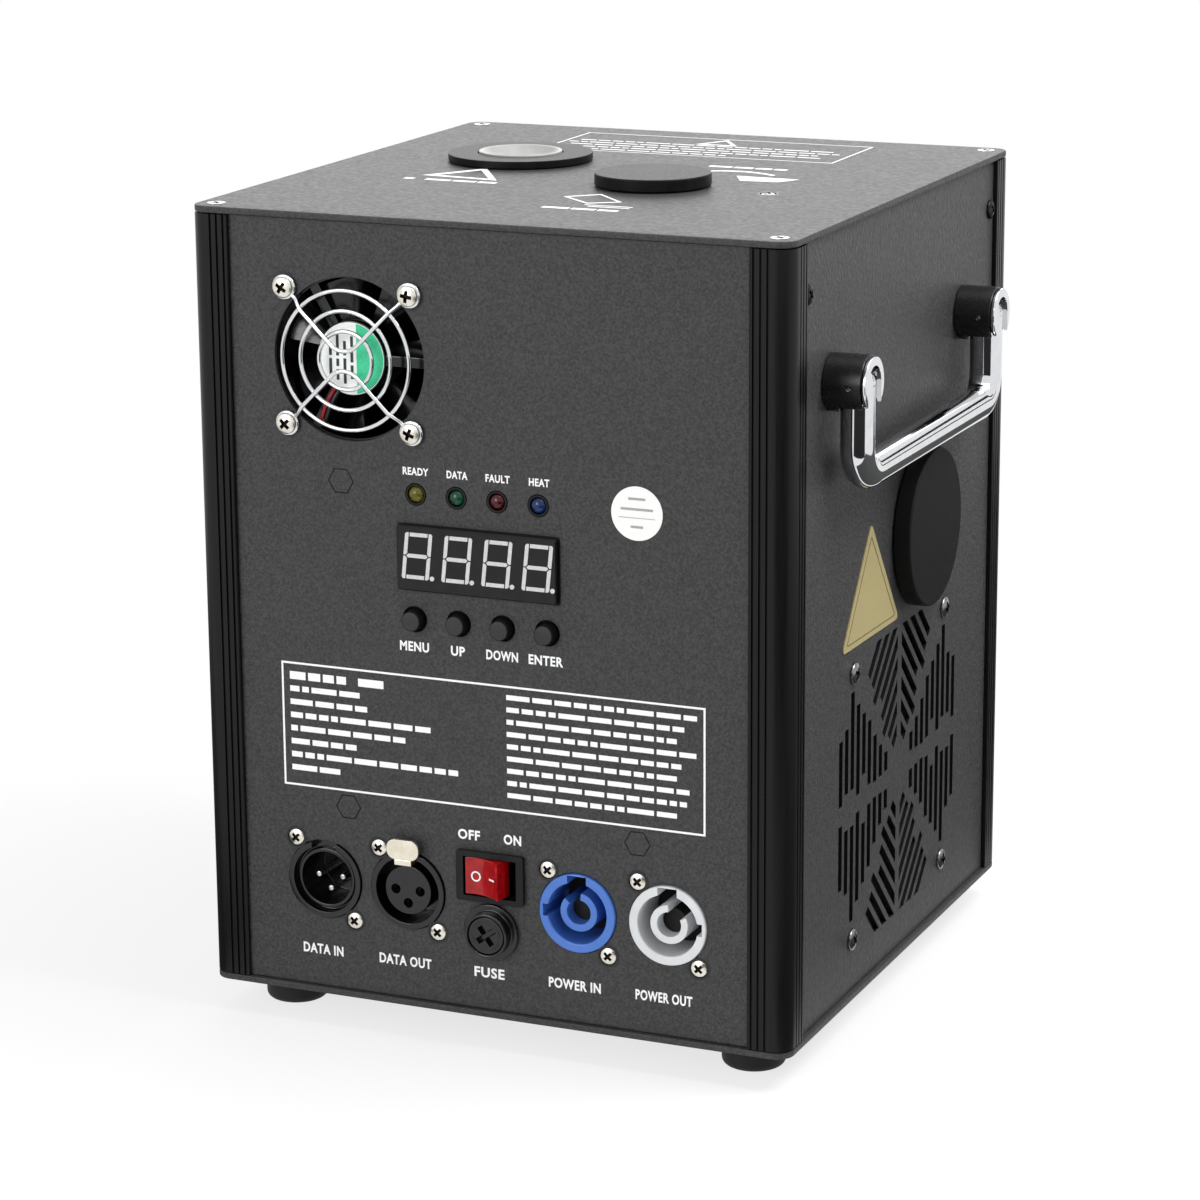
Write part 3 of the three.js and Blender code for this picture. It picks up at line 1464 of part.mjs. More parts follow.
function blowerWheel() {
  const low = -blower_front - blower_depth + blower_wall + overrun;
  const plate = rod(wheel_radius, low, low + wheel_plate);
  const step = (2 * Math.PI) / wheel_blades;
  const lean = THREE.MathUtils.degToRad(wheel_blade_lean);
  const star = [];
  for (let i = 0; i < wheel_blades; i++) {
    const root = i * step;
    const tip = root - lean;
    const thin = wheel_blade_thickness / 2;
    for (const [radius, angle, side] of [
      [wheel_hub_radius, root, -1], [wheel_radius, tip, -1], [wheel_radius, tip, 1], [wheel_hub_radius, root, 1]]) {
      const x = radius * Math.cos(angle) - side * thin * Math.sin(root);
      const y = radius * Math.sin(angle) + side * thin * Math.cos(root);
      star.push(point(x, y));
    }
  }
  const blades = extruded(star, [], low + wheel_plate / 2, low + wheel_depth);
  const bore = rod(blower_axle_radius + seat_gap, low - overrun, low + wheel_depth + overrun);
  return blowerAxis(cut(join(plate, blades), bore));
}

// Power supply: a board with a finned heat sink, a transformer and two capacitors.
function powerSupply() {
  const left_x = -supply_width / 2;
  const low = floor_top + seat_gap;
  const back = supply_back;
  const parts = [block(left_x, -left_x, supply_front, back, low, low + supply_board)];
  const base = low + supply_board;
  const root = left_x + supply_fin_thickness;
  const fin_front = supply_front + supply_board;
  const fin_back = back - supply_board;
  const sunk = base - supply_board / 2;
  parts.push(block(root, root + supply_fin_run, fin_front, fin_back, sunk, base + supply_board));
  const pitch = (supply_fin_run - supply_fin_thickness) / (supply_fins - 1);
  for (let i = 0; i < supply_fins; i++) {
    const x = root + i * pitch;
    const fin_end = x + supply_fin_thickness;
    parts.push(block(x, fin_end, fin_front, fin_back, base, base + supply_fin_height));
  }
  const core = supply_depth / 2 - supply_board;
  const middle_y = supply_front + supply_depth / 2;
  const top = base + supply_fin_height;
  parts.push(block(0, 2 * core, middle_y - core, middle_y + core, sunk, top));
  for (const s of [-1, 1]) {
    const can = rod(core / 2, sunk, top);
    parts.push(can.translate(-left_x - core, middle_y + (s * core) / 2 + s * supply_board / 4, 0));
  }
  return join(...parts);
}

function addInside() {
  add(casing, 'hopper', hopper(), aluminium);
  add(casing, 'auger', auger(), steel);
  add(casing, 'feed_motor', feedMotor(), steel);
  add(casing, 'heater_core', heaterCore(), lagging, nozzle_x, nozzle_y, 0);
  add(casing, 'blower_housing', blowerHousing(), plastic_black);
  add(casing, 'blower_wheel', blowerWheel(), plastic_black);
  add(casing, 'power_supply', powerSupply(), board_green);
}

addPlates();
addPosts();
addPanels();
addFeet();
addHandles();
addNozzle();
addCaps();
addFans();
addControls();
addSockets();
addSwitch();
addFuse();
addInside();

// The origin is the middle of the whole machine's footprint, on the surface that it stands on.
machine.updateMatrixWorld(true);
const reach = new THREE.Box3().setFromObject(machine, true);
machine.position.set(-(reach.min.x + reach.max.x) / 2, -(reach.min.y + reach.max.y) / 2, 0);

export default machine;
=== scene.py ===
import math

import bmesh
import bpy
from mathutils import Matrix, Vector


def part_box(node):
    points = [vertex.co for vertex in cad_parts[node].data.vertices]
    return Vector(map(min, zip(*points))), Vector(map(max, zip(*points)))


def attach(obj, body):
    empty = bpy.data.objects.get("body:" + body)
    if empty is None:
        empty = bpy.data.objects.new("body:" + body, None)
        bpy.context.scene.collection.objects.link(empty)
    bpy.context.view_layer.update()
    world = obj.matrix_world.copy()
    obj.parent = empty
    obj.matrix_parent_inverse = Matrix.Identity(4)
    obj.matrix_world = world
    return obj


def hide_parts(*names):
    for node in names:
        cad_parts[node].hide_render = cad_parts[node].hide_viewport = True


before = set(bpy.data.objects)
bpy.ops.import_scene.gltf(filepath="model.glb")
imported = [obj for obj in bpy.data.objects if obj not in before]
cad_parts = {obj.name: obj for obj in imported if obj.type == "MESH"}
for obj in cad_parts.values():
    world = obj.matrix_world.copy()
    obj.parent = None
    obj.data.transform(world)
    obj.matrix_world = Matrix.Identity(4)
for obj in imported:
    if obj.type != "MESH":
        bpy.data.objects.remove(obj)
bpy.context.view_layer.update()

scene = bpy.context.scene

# Sizes are in millimetres, from the middle of the base plate's underside, until a piece is placed.
mm = 0.001
merge_distance = 0.0005
smooth_angle = math.radians(38)

# Casing
case_width = 187.0
case_depth = 195.0
case_height = 237.0
plate_thickness = 2.0
corner_radius = 5.5
panel_thickness = 1.2
panel_recess = 1.5
seat_gap = 0.3
front_plane = case_depth / 2 - panel_recess
side_plane = case_width / 2 - panel_recess
wall_low = plate_thickness + seat_gap
wall_high = case_height - plate_thickness - seat_gap
behind_panel = -panel_thickness - seat_gap

plate_low, plate_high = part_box("bottom_plate")
machine_middle = (plate_low + plate_high) / 2
MACHINE = Matrix.Translation((machine_middle.x, machine_middle.y, plate_low.z)) @ Matrix.Scale(mm, 4)


def face_frame(across, up, out, origin):
    """A frame whose x and y lie in a face of the casing and whose z points out of it."""
    columns = Matrix((across, up, out)).transposed().to_4x4()
    return MACHINE @ Matrix.Translation(origin) @ columns


FRONT = face_frame((1, 0, 0), (0, 0, 1), (0, -1, 0), (0, -front_plane, 0))
REAR = face_frame((-1, 0, 0), (0, 0, 1), (0, 1, 0), (0, front_plane, 0))
RIGHT = face_frame((0, 1, 0), (0, 0, 1), (1, 0, 0), (side_plane, 0, 0))
LEFT = face_frame((0, -1, 0), (0, 0, 1), (-1, 0, 0), (-side_plane, 0, 0))
TOP = face_frame((1, 0, 0), (0, 1, 0), (0, 0, 1), (0, 0, case_height))
BELOW = face_frame((1, 0, 0), (0, -1, 0), (0, 0, -1), (0, 0, 0))


def at(where, x, y, z=0.0, turn=0.0):
    """A place in a frame, turned about the frame's own z by so many degrees."""
    return where @ Matrix.Translation((x, y, z)) @ Matrix.Rotation(math.radians(turn), 4, "Z")


# Outlines

def arc(x, y, radius, start, end, steps):
    """Points of an arc between two angles in degrees, both ends included."""
    angles = [math.radians(start + (end - start) * i / steps) for i in range(steps + 1)]
    return [(x + radius * math.cos(a), y + radius * math.sin(a)) for a in angles]


def circle(radius, x=0.0, y=0.0, steps=64, first=0.0):
    return arc(x, y, radius, first, first + 360, steps)[:-1]


def rectangle(width, height, x=0.0, y=0.0):
    return [(x + sx * width / 2, y + sy * height / 2) for sx, sy in ((-1, -1), (1, -1), (1, 1), (-1, 1))]


def rounded(width, height, radius, x=0.0, y=0.0, steps=6):
    """A rectangle with round corners."""
    outline = []
    for i, (sx, sy) in enumerate(((-1, -1), (1, -1), (1, 1), (-1, 1))):
        start = 180 + 90 * i
        across = x + sx * (width / 2 - radius)
        up = y + sy * (height / 2 - radius)
        outline += arc(across, up, radius, start, start + 90, steps)
    return outline


def raised(points, height):
    return [(x, y, height) for x, y in points]


# Shapes

def loop_of(bm, points, closed=True):
    """Edges through a list of points."""
    verts = [bm.verts.new(p) for p in points]
    following = verts[1:] + verts[:1] if closed else verts[1:]
    return [bm.edges.new(pair) for pair in zip(verts, following)]


def closed_up(bm):
    """Merges what meets and turns every face outwards."""
    bmesh.ops.remove_doubles(bm, verts=bm.verts, dist=merge_distance)
    bmesh.ops.recalc_face_normals(bm, faces=bm.faces)
    return bm


def sheet(outline, holes, low, high):
    """A flat sheet with holes through it."""
    bm = bmesh.new()
    edges = []
    for points in [outline, *holes]:
        edges += loop_of(bm, raised(points, low))
    bmesh.ops.triangle_fill(bm, use_beauty=True, use_dissolve=False, edges=edges)
    grown = bmesh.ops.extrude_face_region(bm, geom=bm.faces[:])
    lifted = [v for v in grown["geom"] if isinstance(v, bmesh.types.BMVert)]
    bmesh.ops.translate(bm, verts=lifted, vec=(0, 0, high - low))
    return closed_up(bm)


def plate(outlines, holes=()):
    """A plate whose edge follows stacked outlines, each a list of points and a height."""
    bm = bmesh.new()
    rims = [loop_of(bm, raised(points, height)) for points, height in outlines]
    low, high = outlines[0][1], outlines[-1][1]
    feet = [loop_of(bm, raised(points, low)) for points in holes]
    heads = [loop_of(bm, raised(points, high)) for points in holes]
    for lower, upper in [*zip(rims, rims[1:]), *zip(feet, heads)]:
        bmesh.ops.bridge_loops(bm, edges=lower + upper)
    for rim, inner in ((rims[0], feet), (rims[-1], heads)):
        edges = rim + [edge for hole in inner for edge in hole]
        bmesh.ops.triangle_fill(bm, use_beauty=True, use_dissolve=False, edges=edges)
    return closed_up(bm)


def turned(profile, steps=64, hollow=False):
    """A shape turned about z from points of radius and height; a hollow one's profile closes on itself."""
    bm = bmesh.new()
    edges = loop_of(bm, [(r, 0, h) for r, h in profile], closed=hollow)
    bmesh.ops.spin(
        bm, geom=bm.verts[:] + edges, cent=(0, 0, 0), axis=(0, 0, 1), angle=math.tau, steps=steps,
        use_merge=True)
    return closed_up(bm)


def block(x_from, x_to, y_from, y_to, z_from, z_to):
    bm = bmesh.new()
    bmesh.ops.create_cube(bm, size=1)
    bmesh.ops.scale(bm, verts=bm.verts, vec=(x_to - x_from, y_to - y_from, z_to - z_from))
    middle = ((x_from + x_to) / 2, (y_from + y_to) / 2, (z_from + z_to) / 2)
    bmesh.ops.translate(bm, verts=bm.verts, vec=middle)
    return bm


def rod(radius, low, high, steps=48):
    return turned([(0, low), (radius, low), (radius, high), (0, high)], steps)


def tube(bore, radius, low, high, steps):
    return turned([(bore, low), (radius, low), (radius, high), (bore, high)], steps, hollow=True)


def eased(bm, width, steps=2, sharper_than=35):
    """Rounds every edge that is sharper than an angle in degrees."""
    limit = math.radians(sharper_than)
    sharp = [e for e in bm.edges if len(e.link_faces) == 2 and e.calc_face_angle() > limit]
    bmesh.ops.bevel(
        bm, geom=sharp, offset=width, offset_type="OFFSET", segments=steps, profile=0.5,
        affect="EDGES", clamp_overlap=True, material=-1)
    return closed_up(bm)


def moved(bm, x=0.0, y=0.0, z=0.0, turn=0.0, axis="Z"):
    """Turns a shape about an axis by so many degrees, then moves it."""
    bmesh.ops.rotate(bm, verts=bm.verts, matrix=Matrix.Rotation(math.radians(turn), 3, axis))
    bmesh.ops.translate(bm, verts=bm.verts, vec=(x, y, z))
    return bm


def mesh_of(bm):
    mesh = bpy.data.meshes.new("shape")
    bm.to_mesh(mesh)
    bm.free()
    return mesh


def gathered(*shapes):
    """Several shapes as one mesh."""
    whole = bmesh.new()
    for shape in shapes:
        mesh = mesh_of(shape)
        whole.from_mesh(mesh)
        bpy.data.meshes.remove(mesh)
    return whole


def evaluated(holder):
    """The final mesh of an object that is only a tool, which is then removed."""
    scene.collection.objects.link(holder)
    bpy.context.view_layer.update()
    graph = bpy.context.evaluated_depsgraph_get()
    mesh = bpy.data.meshes.new_from_object(holder.evaluated_get(graph), depsgraph=graph)
    bpy.data.objects.remove(holder)
    bm = bmesh.new()
    bm.from_mesh(mesh)
    bpy.data.meshes.remove(mesh)
    return bm


def combined(body, others, operation):
    """A shape cut by others, or joined with them."""
    holder = bpy.data.objects.new("body", mesh_of(body))
    tools = [bpy.data.objects.new("tool", mesh_of(other)) for other in others]
    for tool in tools:
        scene.collection.objects.link(tool)
        step = holder.modifiers.new("step", "BOOLEAN")
        step.operation = operation
        step.solver = "EXACT"
        step.object = tool
    bm = evaluated(holder)
    for tool in tools:
        bpy.data.objects.remove(tool)
    return closed_up(bm)


def carved(body, *cutters):
    return combined(body, cutters, "DIFFERENCE")


def wire(paths, radius, roundness=3):
    """Round wire through lists of points, each a list and whether it closes on itself."""
    curve = bpy.data.curves.new("wire", "CURVE")
    curve.dimensions = "3D"
    curve.bevel_depth = radius
    curve.bevel_resolution = roundness
    curve.use_fill_caps = True
    for points, closed in paths:
        spline = curve.splines.new("POLY")
        spline.points.add(len(points) - 1)
        for knot, place in zip(spline.points, points):
            knot.co = (*place, 1)
        spline.use_cyclic_u = closed
    return closed_up(evaluated(bpy.data.objects.new("wire", curve)))


def smooth_path(points, steps=8):
    """A smooth line through points, as points."""
    curve = bpy.data.curves.new("path", "CURVE")
    curve.dimensions = "3D"
    curve.resolution_u = steps
    spline = curve.splines.new("BEZIER")
    spline.bezier_points.add(len(points) - 1)
    for knot, place in zip(spline.bezier_points, points):
        knot.co = place
        knot.handle_left_type = "AUTO"
        knot.handle_right_type = "AUTO"
    bm = evaluated(bpy.data.objects.new("path", curve))
    places = [v.co.copy() for v in bm.verts]
    bm.free()
    return places


font_capital_share = 0.69
letter_boldness = 0.03
letter_spacing = 1.1
letter_curve_steps = 3
print_thickness = 0.06


def lettering(words, width, height, x=0.0, y=0.0):
    """Flat raised letters, as wide and as high as said, centred on a point."""
    curve = bpy.data.curves.new("words", "FONT")
    curve.body = words
    curve.align_x = "CENTER"
    curve.size = 1
    curve.offset = letter_boldness
    curve.space_character = letter_spacing
    curve.extrude = curve.size / 2
    curve.resolution_u = letter_curve_steps
    bm = closed_up_loosely(evaluated(bpy.data.objects.new("words", curve)))
    places = [v.co.x for v in bm.verts]
    drawn_width = max(places) - min(places)
    drawn_middle = (max(places) + min(places)) / 2
    bmesh.ops.translate(bm, verts=bm.verts, vec=(-drawn_middle, 0, 0))
    across = width / drawn_width
    bmesh.ops.scale(bm, verts=bm.verts, vec=(across, height / font_capital_share, print_thickness))
    bmesh.ops.translate(bm, verts=bm.verts, vec=(x, y - height / 2, print_thickness / 2))
    return bm


def closed_up_loosely(bm):
    """Merges only what lies in one place, as in letters drawn one unit high."""
    letter_merge = 0.00001
    bmesh.ops.remove_doubles(bm, verts=bm.verts, dist=letter_merge)
    bmesh.ops.recalc_face_normals(bm, faces=bm.faces)
    return bm


def printed(outline, holes=()):
    """A flat printed shape lying on a face."""
    return sheet(outline, holes, 0, print_thickness)


# The least share of a face's direction that counts as facing along an axis
facing_share = 0.5


def two_tone(shape, wanted):
    """Gives the faces that a test picks the piece's second finish."""
    shape.normal_update()
    for face in shape.faces:
        if wanted(face):
            face.material_index = 1
    return shape


def piece(name, shape, where, finish, body="casing", nodes=(), second=None):
    """Places a shape in a frame and makes it a named piece that rides on a body."""
    material, slot_name = finish
    mesh = mesh_of(shape)
    mesh.name = name
    mesh.transform(where)
    mesh.materials.append(material)
    if second:
        mesh.materials.append(second[0])
    mesh.shade_smooth()
    mesh.set_sharp_from_angle(angle=smooth_angle)
    made = bpy.data.objects.new(name, mesh)
    scene.collection.objects.link(made)
    even = made.modifiers.new("even_normals", "WEIGHTED_NORMAL")
    even.keep_sharp = True
    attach(made, body)
    if nodes:
        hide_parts(*nodes)
    return made


# Materials

def linear(value):
    """A display value from 0 to 255 as linear light."""
    share = value / 255
    return share / 12.92 if share <= 0.04045 else ((share + 0.055) / 1.055) ** 2.4


def shade(red, green, blue):
    return (linear(red), linear(green), linear(blue), 1)


def base_material(name, colour, roughness, metallic=0.0):
    material = bpy.data.materials.new(name)
    material.use_nodes = True
    shader = material.node_tree.nodes["Principled BSDF"]
    shader.inputs["Base Color"].default_value = colour
    shader.inputs["Roughness"].default_value = roughness
    shader.inputs["Metallic"].default_value = metallic
    return material, shader


def noise(material, grain, detail=2.0, stretch=(1, 1, 1)):
    """Noise whose grains are about so many millimetres across, in the piece's own space."""
    tree = material.node_tree
    place = tree.nodes.new("ShaderNodeTexCoord")
    scaled = tree.nodes.new("ShaderNodeMapping")
    scaled.inputs["Scale"].default_value = [share / (grain * mm) for share in stretch]
    texture = tree.nodes.new("ShaderNodeTexNoise")
    texture.inputs["Scale"].default_value = 1
    texture.inputs["Detail"].default_value = detail
    tree.links.new(place.outputs["Object"], scaled.inputs["Vector"])
    tree.links.new(scaled.outputs["Vector"], texture.inputs["Vector"])
    return texture.outputs["Fac"]


noise_low = 0.3
noise_high = 0.7
mix_factor = 0
mix_first = 6
mix_second = 7
mix_colour = 2


def spread(material, value, low, high):
    """Stretches noise between two numbers."""
    tree = material.node_tree
    ranged = tree.nodes.new("ShaderNodeMapRange")
    ranged.inputs["From Min"].default_value = noise_low
    ranged.inputs["From Max"].default_value = noise_high
    ranged.inputs["To Min"].default_value = low
    ranged.inputs["To Max"].default_value = high
    tree.links.new(value, ranged.inputs["Value"])
    return ranged.outputs["Result"]


def mottled(material, shader, value, first, second):
    """Lets the colour wander between two shades."""
    tree = material.node_tree
    mix = tree.nodes.new("ShaderNodeMix")
    mix.data_type = "RGBA"
    factor = spread(material, value, 0, 1)
    tree.links.new(factor, mix.inputs[mix_factor])
    mix.inputs[mix_first].default_value = first
    mix.inputs[mix_second].default_value = second
    tree.links.new(mix.outputs[mix_colour], shader.inputs["Base Color"])


def rough_between(material, shader, value, low, high):
    material.node_tree.links.new(spread(material, value, low, high), shader.inputs["Roughness"])


def bumpy(material, shader, value, height, strength=1.0):
    """Raises the surface by noise, by a height in millimetres."""
    tree = material.node_tree
    bump = tree.nodes.new("ShaderNodeBump")
    bump.inputs["Distance"].default_value = height * mm
    bump.inputs["Strength"].default_value = strength
    tree.links.new(value, bump.inputs["Height"])
    tree.links.new(bump.outputs["Normal"], shader.inputs["Normal"])


def powder_coat():
    """Black powder paint with a leathery grain."""
    material, shader = base_material("powder_coat", shade(52, 52, 53), roughness=0.5)
    mottled(material, shader, noise(material, grain=0.7, detail=3), shade(43, 43, 44), shade(67, 67, 68))
    rough_between(material, shader, noise(material, grain=1.4), low=0.4, high=0.54)
    bumpy(material, shader, noise(material, grain=1.1, detail=3), height=0.22, strength=0.9)
    shader.inputs["Specular IOR Level"].default_value = 0.25
    return material


def anodised():
    """Drawn aluminium, dyed black, with faint lines along its length."""
    material, shader = base_material("anodised_black", shade(12, 12, 13), roughness=0.34)
    drawn = noise(material, grain=0.25, detail=3, stretch=(1, 1, 0.01))
    mottled(material, shader, drawn, shade(8, 8, 9), shade(15, 15, 16))
    shader.inputs["Specular IOR Level"].default_value = 0.22
    rough_between(material, shader, drawn, low=0.28, high=0.4)
    bumpy(material, shader, drawn, height=0.01, strength=0.5)
    return material


def moulded(name, colour, lighter, roughness, grain=0.3, height=0.02, gloss=0.5):
    """Moulded plastic with a fine spark-eroded grain."""
    wander = 0.05
    material, shader = base_material(name, colour, roughness)
    shader.inputs["Specular IOR Level"].default_value = gloss
    fine = noise(material, grain)
    mottled(material, shader, noise(material, grain=4, detail=3), colour, lighter)
    rough_between(material, shader, fine, low=roughness - wander, high=roughness + wander)
    bumpy(material, shader, fine, height, strength=0.5)
    return material


def metal(name, colour, darker, roughness, scratch=0.15):
    """Bright metal with faint wandering scratches."""
    smooth_share, rough_share = 0.7, 1.3
    material, shader = base_material(name, colour, roughness, metallic=1)
    mottled(material, shader, noise(material, grain=3, detail=3), darker, colour)
    brushed = noise(material, grain=0.6, detail=4, stretch=(1, 1, scratch))
    rough_between(material, shader, brushed, roughness * smooth_share, roughness * rough_share)
    lines = noise(material, grain=0.4, detail=3, stretch=(1, scratch, 1))
    bumpy(material, shader, lines, height=0.004, strength=0.4)
    return material


def lens(name, colour, deeper, roughness=0.1, see_through=0.0):
    """Dyed clear resin with a polished skin."""
    smooth_share, rough_share = 0.7, 1.4
    material, shader = base_material(name, colour, roughness)
    mottled(material, shader, noise(material, grain=2.5, detail=1), deeper, colour)
    haze = noise(material, grain=0.8)
    rough_between(material, shader, haze, roughness * smooth_share, roughness * rough_share)
    bumpy(material, shader, noise(material, grain=1.5, detail=1), height=0.01, strength=0.3)
    shader.inputs["Coat Weight"].default_value = 0.3
    shader.inputs["Coat Roughness"].default_value = 0.04
    shader.inputs["Specular IOR Level"].default_value = 0.25
    shader.inputs["Transmission Weight"].default_value = see_through
    return material


def ink(name, colour, thinner):
    """Screen printing with slightly uneven cover."""
    material, shader = base_material(name, colour, roughness=0.6)
    mottled(material, shader, noise(material, grain=0.7, detail=3), thinner, colour)
    rough_between(material, shader, noise(material, grain=0.5), low=0.5, high=0.7)
    bumpy(material, shader, noise(material, grain=0.4), height=0.01, strength=0.4)
    return material


def circuit_board():
    """Green lacquer over glass fibre, for the boards inside."""
    material, shader = base_material("solder_mask", shade(28, 78, 48), roughness=0.35)
    weave = noise(material, grain=1.2, stretch=(1, 1, 0.2))
    mottled(material, shader, weave, shade(20, 64, 38), shade(40, 96, 60))
    rough_between(material, shader, noise(material, grain=3), low=0.3, high=0.45)
    bumpy(material, shader, noise(material, grain=0.8), height=0.03, strength=0.5)
    return material


def fibre_lagging():
    """The pale wrapping of the heated column."""
    material, shader = base_material("fibre_lagging", shade(205, 198, 184), roughness=0.95)
    strands = noise(material, grain=0.8, detail=5, stretch=(1, 0.15, 1))
    mottled(material, shader, strands, shade(186, 178, 162), shade(222, 216, 204))
    rough_between(material, shader, strands, low=0.88, high=1.0)
    bumpy(material, shader, strands, height=0.3, strength=0.8)
    return material


# Finishes, each a material and the slot it fills

powder = (powder_coat(), "powder_black")
post_black = (anodised(), "anodised_black")
matt_black = (moulded("matt_black", shade(18, 18, 19), shade(23, 23, 24), 0.5, gloss=0.2), "plastic_black")
key_face = (moulded("key_black", shade(40, 40, 41), shade(46, 46, 47), 0.45, gloss=0.3), "plastic_black")
soft_black = (moulded("soft_black", shade(13, 13, 14), shade(18, 18, 19), 0.6, gloss=0.15), "plastic_black")
gloss_black = (
    moulded("gloss_black", shade(9, 9, 10), shade(13, 13, 14), 0.18, grain=1.2, height=0.006),
    "gloss_black")
rubber = (
    moulded("rubber", shade(20, 20, 21), shade(25, 25, 26), 0.62, grain=0.25, height=0.03, gloss=0.3),
    "rubber_black")
sleeve_black = (
    moulded("sleeve_black", shade(14, 14, 15), shade(19, 19, 20), 0.3, grain=0.8, height=0.01, gloss=0.4),
    "rubber_black")
edge_black = (
    moulded("turned_black", shade(9, 9, 10), shade(22, 22, 23), 0.42, grain=0.6, height=0.08, gloss=0.12),
    "anodised_black")
chrome = (metal("chrome", shade(226, 227, 229), shade(216, 217, 220), 0.06), "chrome")
bright_steel = (metal("bright_steel", shade(206, 206, 204), shade(188, 188, 186), 0.24, scratch=0.4), "steel")
warm_nickel = (metal("warm_nickel", shade(236, 231, 221), shade(220, 214, 203), 0.28, scratch=0.4), "nickel")
tab_nickel = (metal("tab_nickel", shade(238, 231, 214), shade(222, 214, 196), 0.3, scratch=0.4), "nickel")
dark_nickel = (
    metal("dark_nickel", shade(146, 146, 148), shade(122, 122, 124), 0.24, scratch=0.4), "anodised_black")
black_screw = (
    metal("blackened_steel", shade(48, 48, 50), shade(38, 38, 40), 0.34, scratch=0.4), "anodised_black")
recess_shadow = (metal("recess_shadow", shade(44, 38, 32), shade(32, 28, 24), 0.5), "steel")
dull_aluminium = (
    metal("dull_aluminium", shade(176, 178, 182), shade(160, 162, 166), 0.42, scratch=0.3), "aluminium")
ceramic = (
    moulded("glazed_ceramic", shade(150, 150, 148), shade(160, 160, 158), 0.36, grain=0.5, gloss=0.4),
    "ceramic_white")
blue_plastic = (moulded("blue_plastic", shade(64, 108, 188), shade(70, 115, 196), 0.34), "socket_blue")
grey_plastic = (moulded("grey_plastic", shade(204, 206, 208), shade(212, 214, 216), 0.34), "socket_grey")
fibre = (fibre_lagging(), "ceramic_fibre")
board = (circuit_board(), "board_green")
switch_red = (lens("switch_red", shade(168, 14, 20), shade(140, 8, 14), 0.16), "switch_red")
fuse_glass = (
    lens("fuse_glass", shade(222, 230, 230), shade(206, 216, 216), 0.05, see_through=0.8), "glass_clear")
lamp_finishes = {
    "ready_lamp": (lens("olive_lens", shade(98, 95, 16), shade(70, 67, 10)), "lamp_amber"),
    "data_lamp": (lens("green_lens", shade(4, 66, 42), shade(3, 46, 29)), "lamp_green"),
    "fault_lamp": (lens("red_lens", shade(74, 7, 14), shade(52, 4, 8)), "lamp_red"),
    "heat_lamp": (lens("blue_lens", shade(15, 40, 92), shade(9, 28, 70)), "lamp_blue"),
}
display_grey = (
    moulded("display_face", shade(25, 25, 26), shade(30, 30, 31), 0.34, grain=0.6, height=0.006, gloss=0.2),
    "plastic_black")
display_side = (moulded("display_side", shade(8, 8, 9), shade(12, 12, 13), 0.4, gloss=0.2), "plastic_black")
segment_white = (ink("segment_white", shade(204, 205, 203), shade(190, 191, 189)), None)
white_ink = (ink("white_ink", shade(247, 247, 247), shade(236, 236, 236)), None)
sticker_white = (ink("sticker_paper", shade(242, 242, 240), shade(236, 236, 234)), None)
sticker_ink = (ink("sticker_ink", shade(150, 150, 152), shade(164, 164, 166)), None)
plate_yellow = (ink("yellow_plate", shade(160, 147, 101), shade(150, 138, 93)), None)
plate_brown = (ink("yellow_plate_line", shade(96, 88, 56), shade(108, 98, 62)), None)
label_white = (ink("label_paper", shade(252, 253, 252), shade(244, 247, 244)), None)
label_green = (ink("label_green", shade(70, 214, 160), shade(58, 198, 146)), None)
label_ink = (ink("label_ink", shade(34, 40, 38), shade(48, 54, 52)), None)
wire_red = (moulded("wire_red", shade(140, 16, 24), shade(156, 22, 30), 0.4), None)
wire_black = (moulded("wire_black", shade(22, 22, 23), shade(28, 28, 29), 0.4), None)


# Screws

def cross_outline(length, width):
    a = length / 2
    b = width / 2
    return [(a, -b), (a, b), (b, b), (b, a), (-b, a), (-b, b), (-a, b), (-a, -b), (-b, -b), (-b, -a),
            (b, -a), (b, -b)]


def cross_recess(length, width, depth, top):
    """The tapering cross that a driver fits."""
    foot_share = 0.7
    over = 1
    foot = cross_outline(length * foot_share, width * foot_share)
    mouth = cross_outline(length, width)
    return plate([(foot, top - depth), (mouth, top), (mouth, top + over)])


def marked_recess(screw, reach, surface):
    """Gives the faces that lie below a screw's outer surface, within a reach, the second finish."""
    hidden_by = 0.1
    least = 0.02

    def in_recess(face):
        middle = face.calc_center_median()
        radius = math.hypot(middle.x, middle.y)
        below = surface(radius) - hidden_by - middle.z
        return radius < reach and least < below < reach and middle.z > -reach

    return two_tone(screw, in_recess)


recess_reach_share = 0.62
recess_turn = 45
screw_steps = 40


def pan_screw(radius, height):
    """A domed screw head with a cross recess, standing on z = 0."""
    shoulder_share, edge_share = 0.5, 0.16
    recess_width_share, recess_depth_share = 0.36, 0.8
    shoulder = shoulder_share * height
    edge = edge_share * height
    dome = (radius ** 2 + (height - shoulder) ** 2) / (2 * (height - shoulder))
    sweep = math.degrees(math.asin(radius / dome))
    crown = arc(0, height - dome, dome, 90 - sweep, 90, steps=6)
    crown[-1] = (0, height)
    head = eased(turned([(0, 0), (radius, 0), *crown], screw_steps), edge)
    reach = radius * recess_reach_share
    recess = cross_recess(
        2 * reach, recess_width_share * radius, recess_depth_share * height, top=height)
    carved_head = carved(head, moved(recess, turn=recess_turn))
    return marked_recess(carved_head, reach, lambda r: height - dome + math.sqrt(dome ** 2 - r ** 2))


